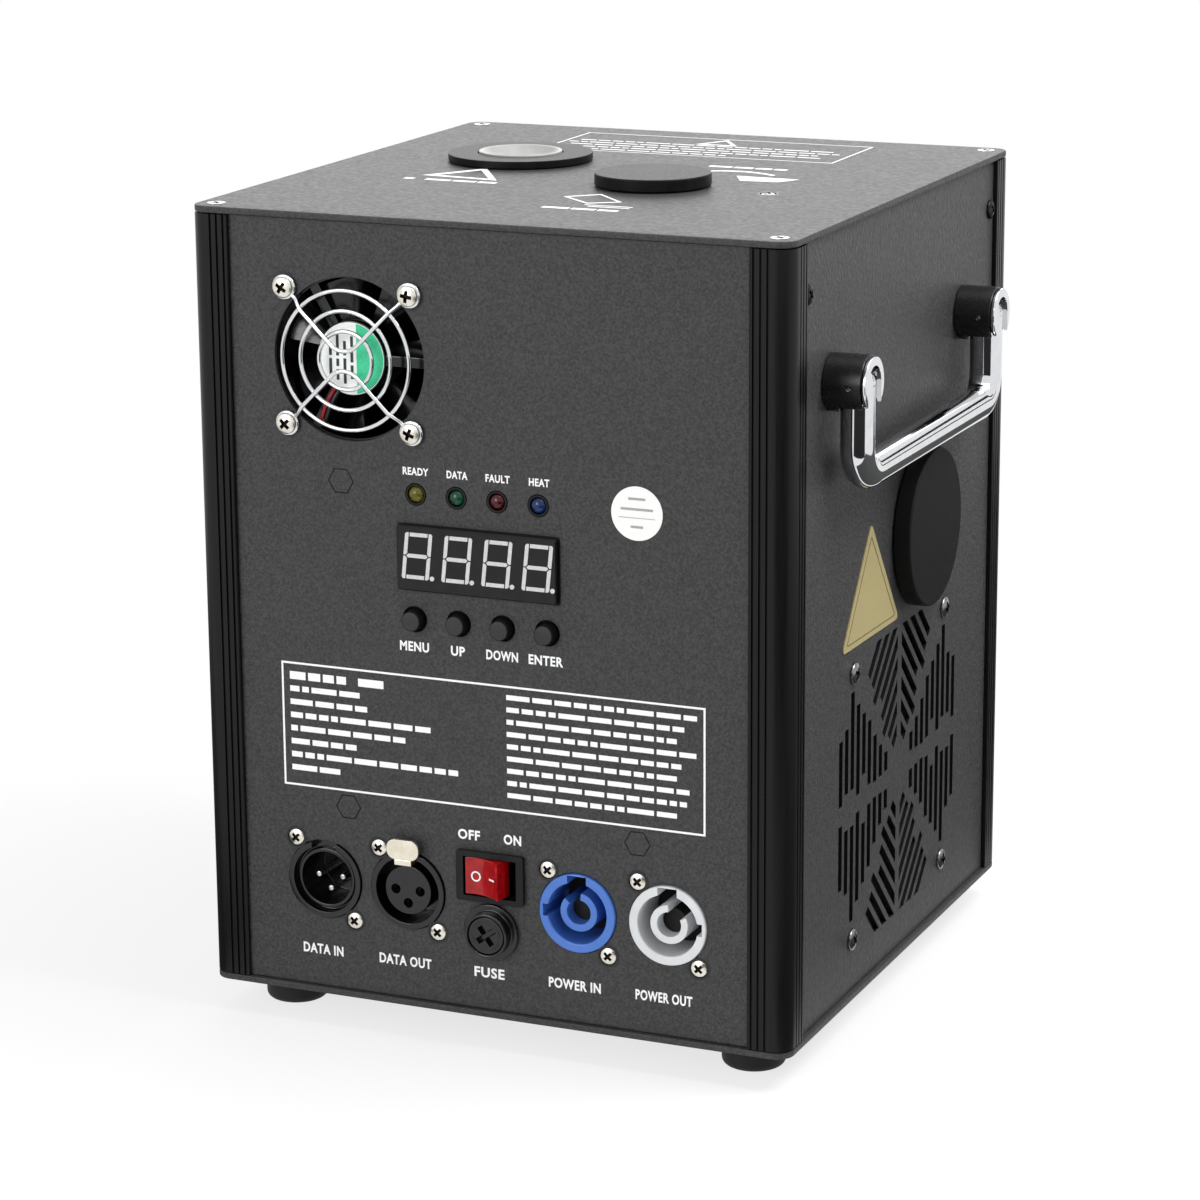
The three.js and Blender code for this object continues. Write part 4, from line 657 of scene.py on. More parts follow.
def flat_screw(radius, height):
    """A countersunk head whose face lies just above z = 0."""
    proud = 0.15
    edge = 0.08
    foot_share, recess_width_share, recess_depth_share = 0.5, 0.34, 0.7
    foot = radius * foot_share
    profile = [(0, -height), (foot, -height), (radius, 0), (radius, proud), (0, proud)]
    head = eased(turned(profile, screw_steps), edge)
    reach = radius * recess_reach_share
    recess = cross_recess(
        2 * reach, recess_width_share * radius, recess_depth_share * height, top=proud)
    return marked_recess(carved(head, moved(recess, turn=recess_turn)), reach, lambda _: proud)


def screw(name, shape, where, finish):
    piece(name, shape, where, finish, second=recess_shadow)


# Casing

cover_screw_in_x = 6
cover_screw_in_y = 6.4
cover_screw_x = case_width / 2 - cover_screw_in_x
cover_screw_y = case_depth / 2 - cover_screw_in_y
cover_screw_radius = 2.7
cover_screw_length_share = 0.9
cover_screw_length = cover_screw_length_share * plate_thickness
cover_sink_play = 0.05
screw_shaft = 1.7
post_face = 12.6
post_lip = 1.35
post_inner_wall = 1.35
post_slot_floor = 7.5
post_heel = 9.6
post_edge = 0.25
slot_play = 0.15
groove_width = 0.7
groove_depth = 0.7
groove_places = [7.1, 9.2, 11.3]

nozzle_x = -41.0
nozzle_y = 20.0
nozzle_ring_radius = 13.0
filler_x = 18.0
filler_y = -14.5
filler_neck_radius = 15.0
running_gap = 0.4


def casing_plate(low, high, holes):
    """A plate with rounded corners and a slightly rounded rim."""
    rim = 0.4
    slope = rim * (1 - math.sqrt(0.5))
    insets = [(rim, 0), (slope, slope), (0, rim)]
    levels = [(inset, low + rise) for inset, rise in insets]
    levels += [(inset, high - drop) for inset, drop in reversed(insets)]
    outlines = []
    for inset, level in levels:
        outline = rounded(case_width - 2 * inset, case_depth - 2 * inset, corner_radius - inset, steps=10)
        outlines.append((outline, level))
    return plate(outlines, holes)


def make_plates():
    corners = [(sx * cover_screw_x, sy * cover_screw_y) for sx in (-1, 1) for sy in (-1, 1)]
    sinks = [circle(cover_screw_radius + cover_sink_play, x, y, screw_steps) for x, y in corners]
    nozzle_hole = circle(nozzle_ring_radius + running_gap, nozzle_x, nozzle_y)
    filler_hole = circle(filler_neck_radius + running_gap, filler_x, filler_y)
    small_hole = circle(top_screw_hole, top_screw_x, top_screw_y, steps=24)
    holes = [*sinks, nozzle_hole, filler_hole, small_hole]
    cover = casing_plate(case_height - plate_thickness, case_height, holes)
    piece("cover_plate", cover, MACHINE, powder, nodes=["top_cover"])
    piece("base_plate", casing_plate(0, plate_thickness, sinks), MACHINE, powder, nodes=["bottom_plate"])
    for i, (x, y) in enumerate(corners):
        for face, where in (("cover", at(TOP, x, y)), ("base", at(BELOW, x, -y))):
            head = flat_screw(cover_screw_radius, cover_screw_length)
            screw(f"{face}_screw_{i + 1}", head, where, bright_steel)


def post_leg():
    """One leg of the corner profile, from its rounded corner to its inner heel."""
    half = groove_width / 2
    points = []
    for place in groove_places:
        points += [(place - half, 0), (place - half, groove_depth)]
        points += [(place + half, groove_depth), (place + half, 0)]
    slot_back = post_lip + panel_thickness + 2 * slot_play
    inner = slot_back + post_inner_wall
    points += [(post_face - post_edge, 0), (post_face, post_edge), (post_face, post_lip)]
    points += [(post_slot_floor, post_lip), (post_slot_floor, slot_back), (post_face, slot_back)]
    points += [(post_face, inner), (post_heel, inner)]
    return points


def make_posts():
    leg = post_leg()
    mirrored = [(y, x) for x, y in reversed(leg)]
    corner = arc(corner_radius, corner_radius, corner_radius, 180, 270, steps=10)
    outline = [*leg, (post_heel, post_heel), *mirrored, *corner]
    places = {"front_left": (-1, -1), "front_right": (1, -1), "rear_right": (1, 1), "rear_left": (-1, 1)}
    channel_places = [(cover_screw_in_x, cover_screw_in_y), (cover_screw_in_y, cover_screw_in_x)]
    for i, (place, (sx, sy)) in enumerate(places.items()):
        channel = circle(screw_shaft, *channel_places[i % 2], steps=24)
        where = at(MACHINE, sx * case_width / 2, sy * case_depth / 2, turn=90 * i)
        shape = sheet(outline, [channel], wall_low, wall_high)
        piece(f"corner_post_{place}", shape, where, post_black, nodes=[f"post_{place}"])


# Front panel

# Lamps, figures and keys each stand in a row of so many
row_count = 4
fan_x = -43.0
fan_z = 194.8
fan_pitch = 40.0
fan_opening = 24.1
lamp_first_x = -22.4
lamp_pitch = 12.9
lamp_z = 156.7
lamp_radius = 2.5
lamp_hole_gap = 0.88
key_first_x = -23.4
key_pitch = 14.05
key_z = 119.4
key_radius = 3.0
key_hole_radius = 3.95
display_x = -2.7
display_z = 138.0
display_width = 50.6
display_height = 19.2
display_proud = 1.9
socket_z = 36.0
socket_radius = 12.0
socket_screw_x = 9.5
socket_screw_z = 12.0
switch_z = 43.5
fuse_z = 26.7
tub_width = 19.0
tub_height = 13.6
fuse_collar_radius = 6.8


def node_middle(node):
    """The middle of a CAD node along the casing's width, in millimetres."""
    low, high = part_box(node)
    return (low.x + high.x) / 2 / mm


data_in_x = node_middle("data_in_socket")
data_out_x = node_middle("data_out_socket")
power_in_x = node_middle("power_in_socket")
power_out_x = node_middle("power_out_socket")
socket_places = {
    "data_in": data_in_x, "data_out": data_out_x, "power_in": power_in_x, "power_out": power_out_x}


def fan_screw_places(x, y, pitch):
    return [(x + sx * pitch / 2, y + sy * pitch / 2) for sx in (-1, 1) for sy in (-1, 1)]


def socket_screw_places():
    places = {}
    for name, x in socket_places.items():
        places[f"{name}_screw_high"] = (x - socket_screw_x, socket_z + socket_screw_z)
        places[f"{name}_screw_low"] = (x + socket_screw_x, socket_z - socket_screw_z)
    return places


socket_sink = 3.4
fan_screw_hole = 2.1


def front_holes():
    holes = [circle(fan_screw_hole, x, z, steps=24) for x, z in fan_screw_places(fan_x, fan_z, fan_pitch)]
    holes.append(circle(fan_opening, fan_x, fan_z, steps=96))
    for i in range(row_count):
        lamp_x = lamp_first_x + i * lamp_pitch
        key_x = key_first_x + i * key_pitch
        holes.append(circle(lamp_radius + lamp_hole_gap, lamp_x, lamp_z, steps=40))
        holes.append(circle(key_hole_radius, key_x, key_z, steps=48))
    holes.append(rectangle(display_width + 2 * seat_gap, display_height + 2 * seat_gap, display_x, display_z))
    holes += [circle(socket_radius + seat_gap, x, socket_z) for x in socket_places.values()]
    holes += [circle(socket_sink, x, z, steps=32) for x, z in socket_screw_places().values()]
    holes.append(rectangle(tub_width + 2 * seat_gap, tub_height + 2 * seat_gap, 0, switch_z))
    holes.append(circle(fuse_collar_radius + seat_gap, 0, fuse_z, steps=40))
    return holes


nut_mark_places = [(-46.5, 158.7), (-46.5, 59.5), (46.5, 59.5)]
nut_mark_across = 6.6


def panel_outline(span):
    """The outline of a side sheet, which ends in the slots of two posts."""
    width = span - 2 * (post_slot_floor + seat_gap)
    return rectangle(width, wall_high - wall_low, 0, (wall_high + wall_low) / 2)


def make_nut_marks():
    """The six-sided marks that nuts pressed in from behind leave on the front, each ringed by a soft black
    line of painted shade.
    """
    radius = nut_mark_across / math.sqrt(3)
    lift = 0.3
    shade_line = 0.36
    marks = []
    shade_lines = []
    for x, z in nut_mark_places:
        rim = circle(radius, x, z, steps=6)
        marks.append(plate([(rim, 0), (circle(radius - lift, x, z, steps=6), lift / 2)]))
        # A thin soft black ring round each mark is painted shade in its seam.
        shade_lines.append(printed(circle(radius + shade_line, x, z, steps=6), [rim]))
    piece("pressed_nut_marks", gathered(*marks), FRONT, powder)
    piece("pressed_nut_shade_lines", gathered(*shade_lines), FRONT, soft_black)


def make_front_panel():
    front = sheet(panel_outline(case_width), front_holes(), -panel_thickness, 0)
    piece("front_sheet", front, FRONT, powder, nodes=["front_panel"])
    make_nut_marks()


def make_plain_panels():
    rear = sheet(panel_outline(case_width), [], -panel_thickness, 0)
    left = sheet(panel_outline(case_depth), [], -panel_thickness, 0)
    piece("rear_sheet", rear, REAR, powder, nodes=["rear_panel"])
    piece("left_sheet", left, LEFT, powder, nodes=["left_panel"])


# Right panel with its grille

grille_y = 0.9
grille_z = 59.5
grille_pitch = 5.0
grille_slot_width = 3.0
grille_reach = 53.0
grille_first_column = 11.6
grille_column_top_shares = [0.17, 0.237, 0.32, 0.432, 0.5, 0.577, 0.67, 0.48, 0.434]
grille_column_foot_shares = [0.056, 0.05, 0.045, 0.058, 0.143, 0.05, 0.106, 0.106, 0.056]
grille_chevron_rise = 7.0
grille_chevron_first = 15.0
grille_chevron_roof = 45.7
grille_chevron_inner = 1.8
grille_chevron_outer_shares = [0.108, 0.172, 0.266, 0.294, 0.308, 0.432, 0.46, 0.52]
grille_edge_share = 1.1
grille_edge = grille_z + grille_edge_share * grille_reach
side_fan_pitch = 82.5
port_y = 16.3
port_z = 132.8
port_radius = 20.0
port_wall = 1.5
port_depth = 10.0


def mirrored_quarters(points):
    """One slot of the grille and its three mirror images."""
    quarters = []
    for sx in (-1, 1):
        for sy in (-1, 1):
            quarters.append([(grille_y + sx * x, grille_z + sy * y) for x, y in points])
    return quarters


def grille_slots():
    slots = []
    half = grille_slot_width / 2
    for i, share in enumerate(grille_column_top_shares):
        middle = grille_first_column + i * grille_pitch
        low = grille_column_foot_shares[i] * grille_reach
        high = share * grille_reach
        slots += mirrored_quarters(
            [(middle - half, low), (middle + half, low), (middle + half, high), (middle - half, high)])
    slant = grille_slot_width / math.sqrt(2)
    for i, share in enumerate(grille_chevron_outer_shares):
        total = grille_chevron_first + i * grille_chevron_rise
        outer = share * grille_reach
        roofed = total - grille_chevron_roof > grille_chevron_inner
        inner = []
        for edge in (total - slant, total + slant):
            under_roof = (edge - grille_chevron_roof, grille_chevron_roof)
            beside_spine = (grille_chevron_inner, edge - grille_chevron_inner)
            inner.append(under_roof if roofed else beside_spine)
        near = (outer - slant / 2, total - outer - slant / 2)
        far = (outer + slant / 2, total - outer + slant / 2)
        slots += mirrored_quarters([inner[0], near, far, inner[1]])
    return slots


def in_shaded_slot_wall(face):
    """Whether a face of the right sheet is a wall of a slot, which takes soft black as painted shade."""
    return abs(face.normal.z) < facing_share and face.calc_center_median().y < grille_edge


def make_right_panel():
    port = circle(port_radius, port_y, port_z, steps=96)
    places = fan_screw_places(grille_y, grille_z, side_fan_pitch)
    screws = [circle(fan_screw_hole, y, z, steps=24) for y, z in places]
    flat = sheet(panel_outline(case_depth), [*screws, *grille_slots(), port], -panel_thickness, 0)
    rim = circle(port_radius + port_wall, port_y, port_z, steps=96)
    collar = sheet(rim, [port], -panel_thickness - port_depth, -panel_thickness)
    # The walls of the grille's slots take soft black as painted shade.
    piece("right_sheet", gathered(two_tone(flat, in_shaded_slot_wall), collar), RIGHT, powder, nodes=["right_panel"],
          second=soft_black)


# Feet

foot_x = 75.3
foot_y = 77.0
foot_radius = 9.5
foot_height = 9.95
foot_round = 2.2
foot_well_radius = 3.6
foot_well_depth = 4.0
foot_edge = 0.2
foot_screw_head = (3.2, 2.0)


def make_feet():
    tread = arc(foot_radius - foot_round, foot_height - foot_round, foot_round, 0, 90, steps=8)
    floor = foot_height - foot_well_depth
    profile = [(0, seat_gap), (foot_radius, seat_gap), *tread, (foot_well_radius, foot_height)]
    profile += [(foot_well_radius, floor), (0, floor)]
    places = {"front_left": (-1, -1), "front_right": (1, -1), "rear_left": (-1, 1), "rear_right": (1, 1)}
    for place, (sx, sy) in places.items():
        where = at(BELOW, sx * foot_x, -sy * foot_y)
        foot = eased(turned(profile), foot_edge)
        piece(f"rubber_foot_{place}", foot, where, rubber, nodes=[f"foot_{place}"])
        head = moved(pan_screw(*foot_screw_head), z=floor)
        screw(f"foot_screw_{place}", head, where, bright_steel)


# Carrying handles

handle_z = 192.0
handle_centre_y = -3.5
handle_half_span = 58.5
handle_drop = 27.0
handle_bar_radius = 5.0
handle_bend = 9.0
pivot_out = 8.2
boss_length = 13.2
boss_core_radius = 7.3
boss_rim_radius = 8.0
boss_rim_length = 1.2
boss_edge = 0.3
sleeve_radius = 8.4
sleeve_edge = 0.25
handle_pin_radius = 1.5
pin_mark_radius = 0.8


def bail():
    """The round bar of a handle: two legs, two bends and a grip, ending at its pivots."""
    reach = handle_half_span
    near = arc(handle_bend - reach, handle_bend - handle_drop, handle_bend, 180, 270, steps=14)
    far = arc(reach - handle_bend, handle_bend - handle_drop, handle_bend, -90, 0, steps=14)
    path = raised([(-reach, 0), *near, *far, (reach, 0)], 0)
    bar = wire([(path, False)], handle_bar_radius, roundness=10)
    ends = []
    for side in (-1, 1):
        end = bmesh.new()
        bmesh.ops.create_uvsphere(end, u_segments=32, v_segments=16, radius=handle_bar_radius)
        ends.append(moved(end, side * reach))
    return gathered(bar, *ends)


def boss_cutters():
    """The bore and slot that a leg of the bail stands and swings in."""
    half = handle_bar_radius + running_gap
    floor = pivot_out - half
    over = 1
    bore = rod(half, floor, boss_length + over)
    slot = block(-half, half, -sleeve_radius - over, 0, floor, boss_length + over)
    return [bore, slot]


def cross_pin(radius, reach, steps):
    """A pin that lies across a boss at the height of the handle's pivot."""
    return moved(moved(rod(radius, -reach, reach, steps), turn=90, axis="Y"), z=pivot_out)


def boss_stud():
    """The slotted post that holds an end of the bail, with its pin."""
    rim_low = boss_length - boss_rim_length
    core = [(0, seat_gap), (boss_core_radius, seat_gap), (boss_core_radius, rim_low),
            (boss_rim_radius, rim_low), (boss_rim_radius, boss_length), (0, boss_length)]
    stud = carved(eased(turned(core), boss_edge), *boss_cutters())
    return gathered(stud, cross_pin(handle_pin_radius, boss_core_radius - seat_gap, steps=24))


def boss_sleeve():
    """The black sleeve round a post, marked where the pin goes through."""
    high = boss_length - boss_rim_length - seat_gap
    wall = tube(boss_core_radius + seat_gap, sleeve_radius, seat_gap, high, steps=64)
    marks = cross_pin(pin_mark_radius, 2 * sleeve_radius, steps=20)
    return carved(eased(wall, sleeve_edge), *boss_cutters(), marks)


def make_handles():
    for side, face, centre in (("right", RIGHT, handle_centre_y), ("left", LEFT, -handle_centre_y)):
        where = at(face, centre, handle_z, pivot_out)
        piece(f"carrying_bail_{side}", bail(), where, chrome, f"handle_{side}", [f"handle_{side}"])
        ends = ("front", "rear") if side == "right" else ("rear", "front")
        for sign, end in zip((-1, 1), ends):
            where = at(face, centre + sign * handle_half_span, handle_z)
            piece(f"boss_stud_{side}_{end}", boss_stud(), where, chrome,
                  nodes=[f"handle_post_{side}_{end}"])
            piece(f"boss_sleeve_{side}_{end}", boss_sleeve(), where, sleeve_black,
                  nodes=[f"handle_sleeve_{side}_{end}"])


# Nozzle, filling cap and side cap

flange_radius = 22.5
flange_thickness = 2.3
flange_edge = 0.3
nozzle_bore = 7.5
nozzle_dish = 12.0
nozzle_dish_depth = 2.6
nozzle_proud = 0.55
nozzle_length = 18.0
nozzle_edge = 0.35
filler_cap_radius = 17.5
filler_cap_thickness = 3.8
filler_cap_edge = 0.45
filler_spigot = 12.6
filler_spigot_wall = 1.5
filler_spigot_length = 8.0
side_cap_radius = 24.3
side_cap_thickness = 5.6
side_cap_edge = 0.7
side_spigot_wall = 2.2
side_spigot_length = 5.0


def dish_curve(top):
    """Points down the hollow face of the nozzle's ring, from its rim to its bore."""
    points = []
    steps = 8
    for i in range(steps + 1):
        share = i / steps
        radius = nozzle_dish + (nozzle_bore - nozzle_dish) * share
        points.append((radius, top - nozzle_dish_depth * math.sin(share * math.pi / 2)))
    return points


def make_nozzle():
    high = seat_gap + flange_thickness
    flange = tube(nozzle_ring_radius + seat_gap, flange_radius, seat_gap, high, steps=96)
    where = at(TOP, nozzle_x, nozzle_y)
    piece("nozzle_collar", eased(flange, flange_edge), where, edge_black, nodes=["nozzle_flange"])
    top = high + nozzle_proud
    profile = [(nozzle_bore, top - nozzle_length), (nozzle_ring_radius, top - nozzle_length)]
    profile += [(nozzle_ring_radius, top), *dish_curve(top)]
    insert = eased(turned(profile, steps=80, hollow=True), nozzle_edge, steps=3)
    piece("nozzle_ring", insert, where, ceramic, nodes=["nozzle_insert"])


def plug_cap(radius, thickness, spigot, wall, length, edge):
    """A round cap on a hollow spigot."""
    disc = eased(rod(radius, seat_gap, seat_gap + thickness, steps=112), edge, steps=3)
    return gathered(disc, tube(spigot - wall, spigot, -length, seat_gap + edge, steps=80))


def make_caps():
    shape = plug_cap(filler_cap_radius, filler_cap_thickness, filler_spigot, filler_spigot_wall,
                     filler_spigot_length, filler_cap_edge)
    piece("filling_cap", shape, at(TOP, filler_x, filler_y), edge_black, "filler_cap", ["filler_cap"])
    shape = plug_cap(side_cap_radius, side_cap_thickness, port_radius - running_gap, side_spigot_wall,
                     side_spigot_length, side_cap_edge)
    piece("port_cap", shape, at(RIGHT, port_y, port_z), soft_black, "side_cap", ["side_cap"])


# Fans

def blade(root, tip, depth):
    """A cambered, twisted fan blade standing out from the hub."""
    root_share, tip_share = 0.8, 1.45
    root_chord = root_share * depth
    tip_chord = tip_share * depth
    root_pitch = math.radians(48)
    tip_pitch = math.radians(30)
    camber_share = 0.1
    thickness = 1.1
    bm = bmesh.new()
    bmesh.ops.create_grid(bm, x_segments=8, y_segments=8, size=0.5)
    for vert in bm.verts:
        share = vert.co.x + 0.5
        along = vert.co.y
        radius = root + (tip - root) * share
        chord = root_chord + (tip_chord - root_chord) * share
        pitch = root_pitch + (tip_pitch - root_pitch) * share
        bow = camber_share * chord * (1 - 4 * along ** 2)
        sideways = along * chord * math.cos(pitch) - bow * math.sin(pitch)
        rise = along * chord * math.sin(pitch) + bow * math.cos(pitch)
        angle = sideways / radius
        vert.co = (radius * math.cos(angle), radius * math.sin(angle), rise)
    bmesh.ops.recalc_face_normals(bm, faces=bm.faces)
    bmesh.ops.solidify(bm, geom=bm.faces[:], thickness=thickness)
    bmesh.ops.recalc_face_normals(bm, faces=bm.faces)
    return bm


bearing_plate = 3
axle_radius = 2
rotor_bore = 2.3


def fan_frame(size, depth, pitch, duct, hub, arms):
    """A square fan housing with its bearing plate held by arms on the near side."""
    corner = 2.5
    plate_edge = 0.5
    arm_half = 1.6
    arm_sunk = 0.4
    overlap = 1
    screw_holes = [circle(fan_screw_hole, x, y, steps=20) for x, y in fan_screw_places(0, 0, pitch)]
    parts = [sheet(rounded(size, size, corner), [circle(duct, steps=96), *screw_holes], -depth, 0)]
    parts.append(eased(rod(hub, -bearing_plate, 0), plate_edge))
    parts.append(rod(axle_radius, bearing_plate - depth, -bearing_plate / 2, steps=16))
    for angle in arms:
        arm = block(
            hub - overlap, duct + overlap, -arm_half, arm_half, arm_sunk - bearing_plate, -arm_sunk)
        parts.append(moved(eased(arm, arm_sunk), turn=angle))
    return gathered(*parts)


def fan_rotor(depth, duct, hub, blades):
    """A hub that turns on the frame's axle, with its blades."""
    back_in = 1
    hub_edge = 0.6
    blade_sunk = 0.6
    tip_gap = 1
    back = back_in - depth
    face = -bearing_plate - running_gap
    blade_root = hub - blade_sunk
    blade_tip = duct - tip_gap
    parts = [eased(tube(rotor_bore, hub, back, face, steps=64), hub_edge)]
    for i in range(blades):
        shape = blade(blade_root, blade_tip, face - back)
        parts.append(moved(moved(shape, z=(face + back) / 2), turn=360 * i / blades))
    return gathered(*parts)


fan_size = 50
fan_depth = 15.0
fan_duct = 23.6
fan_hub = 11.0
fan_blades = 7
fan_arms = [0, 120, 240]
fan_screw_head = (3.1, 1.6)
fan_screw_turn = 12
wire_radius = 0.65
guard_rings = [8.5, 14.5, 20.4]
guard_out = 2.2
eyelet_radius = 3.2
vee_gap = 2.9
vee_radius = 6.0


def guard_paths():
    """Three rings under two bent wires, each wire ending in eyelets round two screws."""
    paths = [(raised(circle(radius, steps=72), guard_out), True) for radius in guard_rings]
    pressed = 0.1
    ramp = 1.5
    corner = fan_pitch / 2
    eyelet_out = seat_gap + wire_radius
    wire_out = guard_out + 2 * wire_radius - pressed
    for s in (-1, 1):
        for side in (-1, 1):
            eye = circle(eyelet_radius, side * corner, s * corner, steps=24)
            paths.append((raised(eye, eyelet_out), True))
        turn = arc(0, vee_gap + vee_radius, vee_radius, 225, 315, steps=10)
        offset = turn[0][1] + turn[0][0]
        start = corner - eyelet_radius / math.sqrt(2)
        rise = guard_rings[2] / math.sqrt(2) - wire_radius
        foot = start - ramp
        flank = [(-start, start + offset, eyelet_out), (-foot, foot + offset, eyelet_out),
                 (-rise, rise + offset, wire_out)]
        path = flank + raised(turn, wire_out) + [(-x, y, z) for x, y, z in reversed(flank)]
        paths.append(([(x, s * y, z) for x, y, z in path], False))
    return paths


fan_label_radius = 10.6
fan_label_thickness = 0.12
fan_label_rows = [(-5.5, 4.5), (-6.5, 6.8), (-7.5, 5.0), (-6.0, 7.6)]
fan_label_first_row = -6.6
fan_label_row_pitch = 2.3
fan_label_bar = 0.9


def make_fan_label(where):
    """The round label on the hub, half of it green, with plain bars where it has words."""
    band_in = 0.2
    band_radius = fan_label_radius - band_in
    band_sweep = 80
    band_low = 0.1
    band_high = 0.2
    piece("fan_hub_label", sheet(circle(fan_label_radius), [], 0, fan_label_thickness), where, label_white)
    band = sheet(arc(0, 0, band_radius, -band_sweep, band_sweep, steps=40), [], band_low, band_high)
    piece("fan_hub_label_band", band, where, label_green)
    rows = []
    for i, (low, high) in enumerate(fan_label_rows):
        across = fan_label_first_row + fan_label_row_pitch * i
        for bar in word_bars(low, high, 0, fan_label_bar, i):
            rows.append(moved(bar, across, 0, fan_label_thickness, turn=90))
    piece("fan_hub_label_lines", gathered(*rows), where, label_ink)


lead_radius = 0.6
lead_offset = 0.7
lead_angle = 243
lead_course = [
    (fan_label_radius - 1, -1.2), (fan_label_radius + 1, 0.5), (fan_duct - 4, 0.2), (fan_duct, -3.4)]


def make_fan_leads(where):
    """Two leads side by side from the hub to the frame."""
    course_frame = at(where, 0, 0, turn=lead_angle)
    for name, finish, side in (("red", wire_red, -1), ("black", wire_black, 1)):
        path = smooth_path([(x, side * lead_offset, z) for x, z in lead_course])
        piece(f"fan_lead_{name}", wire([(path, False)], lead_radius), course_frame, finish)


def make_front_fan():
    where = at(FRONT, fan_x, fan_z)
    piece("fan_wire_guard", wire(guard_paths(), wire_radius), where, chrome, nodes=["fan_guard"])
    for i, (x, y) in enumerate(fan_screw_places(0, 0, fan_pitch)):
        head = moved(pan_screw(*fan_screw_head), z=seat_gap + 2 * wire_radius)
        screw(f"fan_screw_{i + 1}", head, at(where, x, y, turn=fan_screw_turn * i), warm_nickel)
    inside = at(where, 0, 0, behind_panel)
    housing = fan_frame(fan_size, fan_depth, fan_pitch, fan_duct, fan_hub, fan_arms)
    piece("small_fan_housing", housing, inside, gloss_black, nodes=["front_fan_frame"])
    rotor = fan_rotor(fan_depth, fan_duct, fan_hub, fan_blades)
    piece("small_fan_wheel", rotor, inside, gloss_black, "front_fan_rotor", ["front_fan_rotor"])
    make_fan_label(inside)
    make_fan_leads(inside)


side_fan_size = 92
side_fan_depth = 25
side_fan_duct = 43.5
side_fan_hub = 18
side_fan_blades = 7
side_fan_arms = [45, 135, 225, 315]
side_fan_screw_head = (3.3, 1.6)
side_fan_screw_turn = 20


def make_side_fan():
    where = at(RIGHT, grille_y, grille_z, behind_panel)
    housing = fan_frame(side_fan_size, side_fan_depth, side_fan_pitch, side_fan_duct, side_fan_hub,
                        side_fan_arms)
    piece("large_fan_housing", housing, where, matt_black, nodes=["side_fan_frame"])
    rotor = fan_rotor(side_fan_depth, side_fan_duct, side_fan_hub, side_fan_blades)
    piece("large_fan_wheel", rotor, where, matt_black, "side_fan_rotor", ["side_fan_rotor"])
    for i, (y, z) in enumerate(fan_screw_places(grille_y, grille_z, side_fan_pitch)):
        where = at(RIGHT, y, z, turn=side_fan_screw_turn * i)
        screw(f"grille_screw_{i + 1}", pan_screw(*side_fan_screw_head), where, dark_nickel)


# Display, lamps and keys

board_out = -9.2
digit_height = 13.8
digit_width = 8.7
digit_pitch = 12.7
digit_slant = math.tan(math.radians(6))
segment_width = 1.15
segment_gap = 0.34
segment_corner = 0.45
dot_radius = 0.72
dot_out = 1.0
first_digit_in = -0.35
digit_lift = 0.9
display_corner = 0.8
# The soft black band round the display is a painted shadow: its width, then its corner.
display_shadow_band = 0.45
display_shadow_corner = 1.1
display_face_inset = 0.35
display_face_corner = 0.5
display_face_bed = 0.1
display_face_lift = 0.05


def upright_bar(side, level):
    """One of the four upright bars of a figure, cut away at its foot for the middle bar's point."""
    outer, top, half = digit_width / 2, digit_height / 2, segment_width / 2
    inner = outer - segment_width
    foot = segment_gap / 2
    points = [(outer, foot), (outer, top - segment_corner), (outer - segment_corner, top), (inner, top),
              (inner, foot + half), (inner + half, foot)]
    return printed([(side * x, level * y) for x, y in points][::side * level])


def level_bars():
    """The top and bottom bars, and the middle one with a point at each end."""
    top, half = digit_height / 2, segment_width / 2
    reach = digit_width / 2 - segment_width - segment_gap
    ends = [printed(rectangle(2 * reach, segment_width, 0, level * (top - half))) for level in (-1, 1)]
    tip = reach + half
    middle = [(-tip, 0), (-reach, -half), (reach, -half), (tip, 0), (reach, half), (-reach, half)]
    return [*ends, printed(middle)]


def digit():
    """The seven bars of a figure 8 and its point."""
    bars = level_bars()
    for side in (-1, 1):
        for level in (-1, 1):
            bars.append(upright_bar(side, level))
    dot = circle(dot_radius, digit_width / 2 + dot_out, (segment_width - digit_height) / 2, steps=20)
    return gathered(*bars, printed(dot))


def display_outline(growth, corner):
    """The outline of the display's window, grown or drawn in by so much."""
    return rounded(display_width + 2 * growth, display_height + 2 * growth, corner, display_x, display_z)


def display_figures(out):
    """Four slanted figures that stand at a height."""
    figures = []
    first = display_x - (row_count - 1) / 2 * digit_pitch - first_digit_in
    for i in range(row_count):
        figure = digit()
        for vert in figure.verts:
            vert.co.x += digit_slant * vert.co.y
        figures.append(moved(figure, first + i * digit_pitch, display_z + digit_lift, out))
    return gathered(*figures)


def make_display():
    window = display_outline(0, display_corner)
    face = display_outline(-display_face_inset, display_face_corner)
    shade_line = display_outline(display_shadow_band, display_shadow_corner)
    low = board_out + seat_gap
    high = display_proud + display_face_lift
    body = plate([(window, low), (window, display_proud - display_face_inset), (face, display_proud)])
    # The upward faces of the body take the face grey as painted light from above; the other sides keep the
    # darker black.
    body = two_tone(body, lambda side: side.normal.y > facing_share)
    piece("display_body", body, FRONT, display_side, nodes=["display"], second=display_grey)
    # A soft black band round the display stands as a painted shadow where it stands out of the panel.
    piece("display_shadow_band", printed(shade_line, [window]), FRONT, soft_black)
    piece("display_face", sheet(face, [], display_proud - display_face_bed, high), FRONT, display_grey)
    piece("display_segments", display_figures(high), FRONT, segment_white)


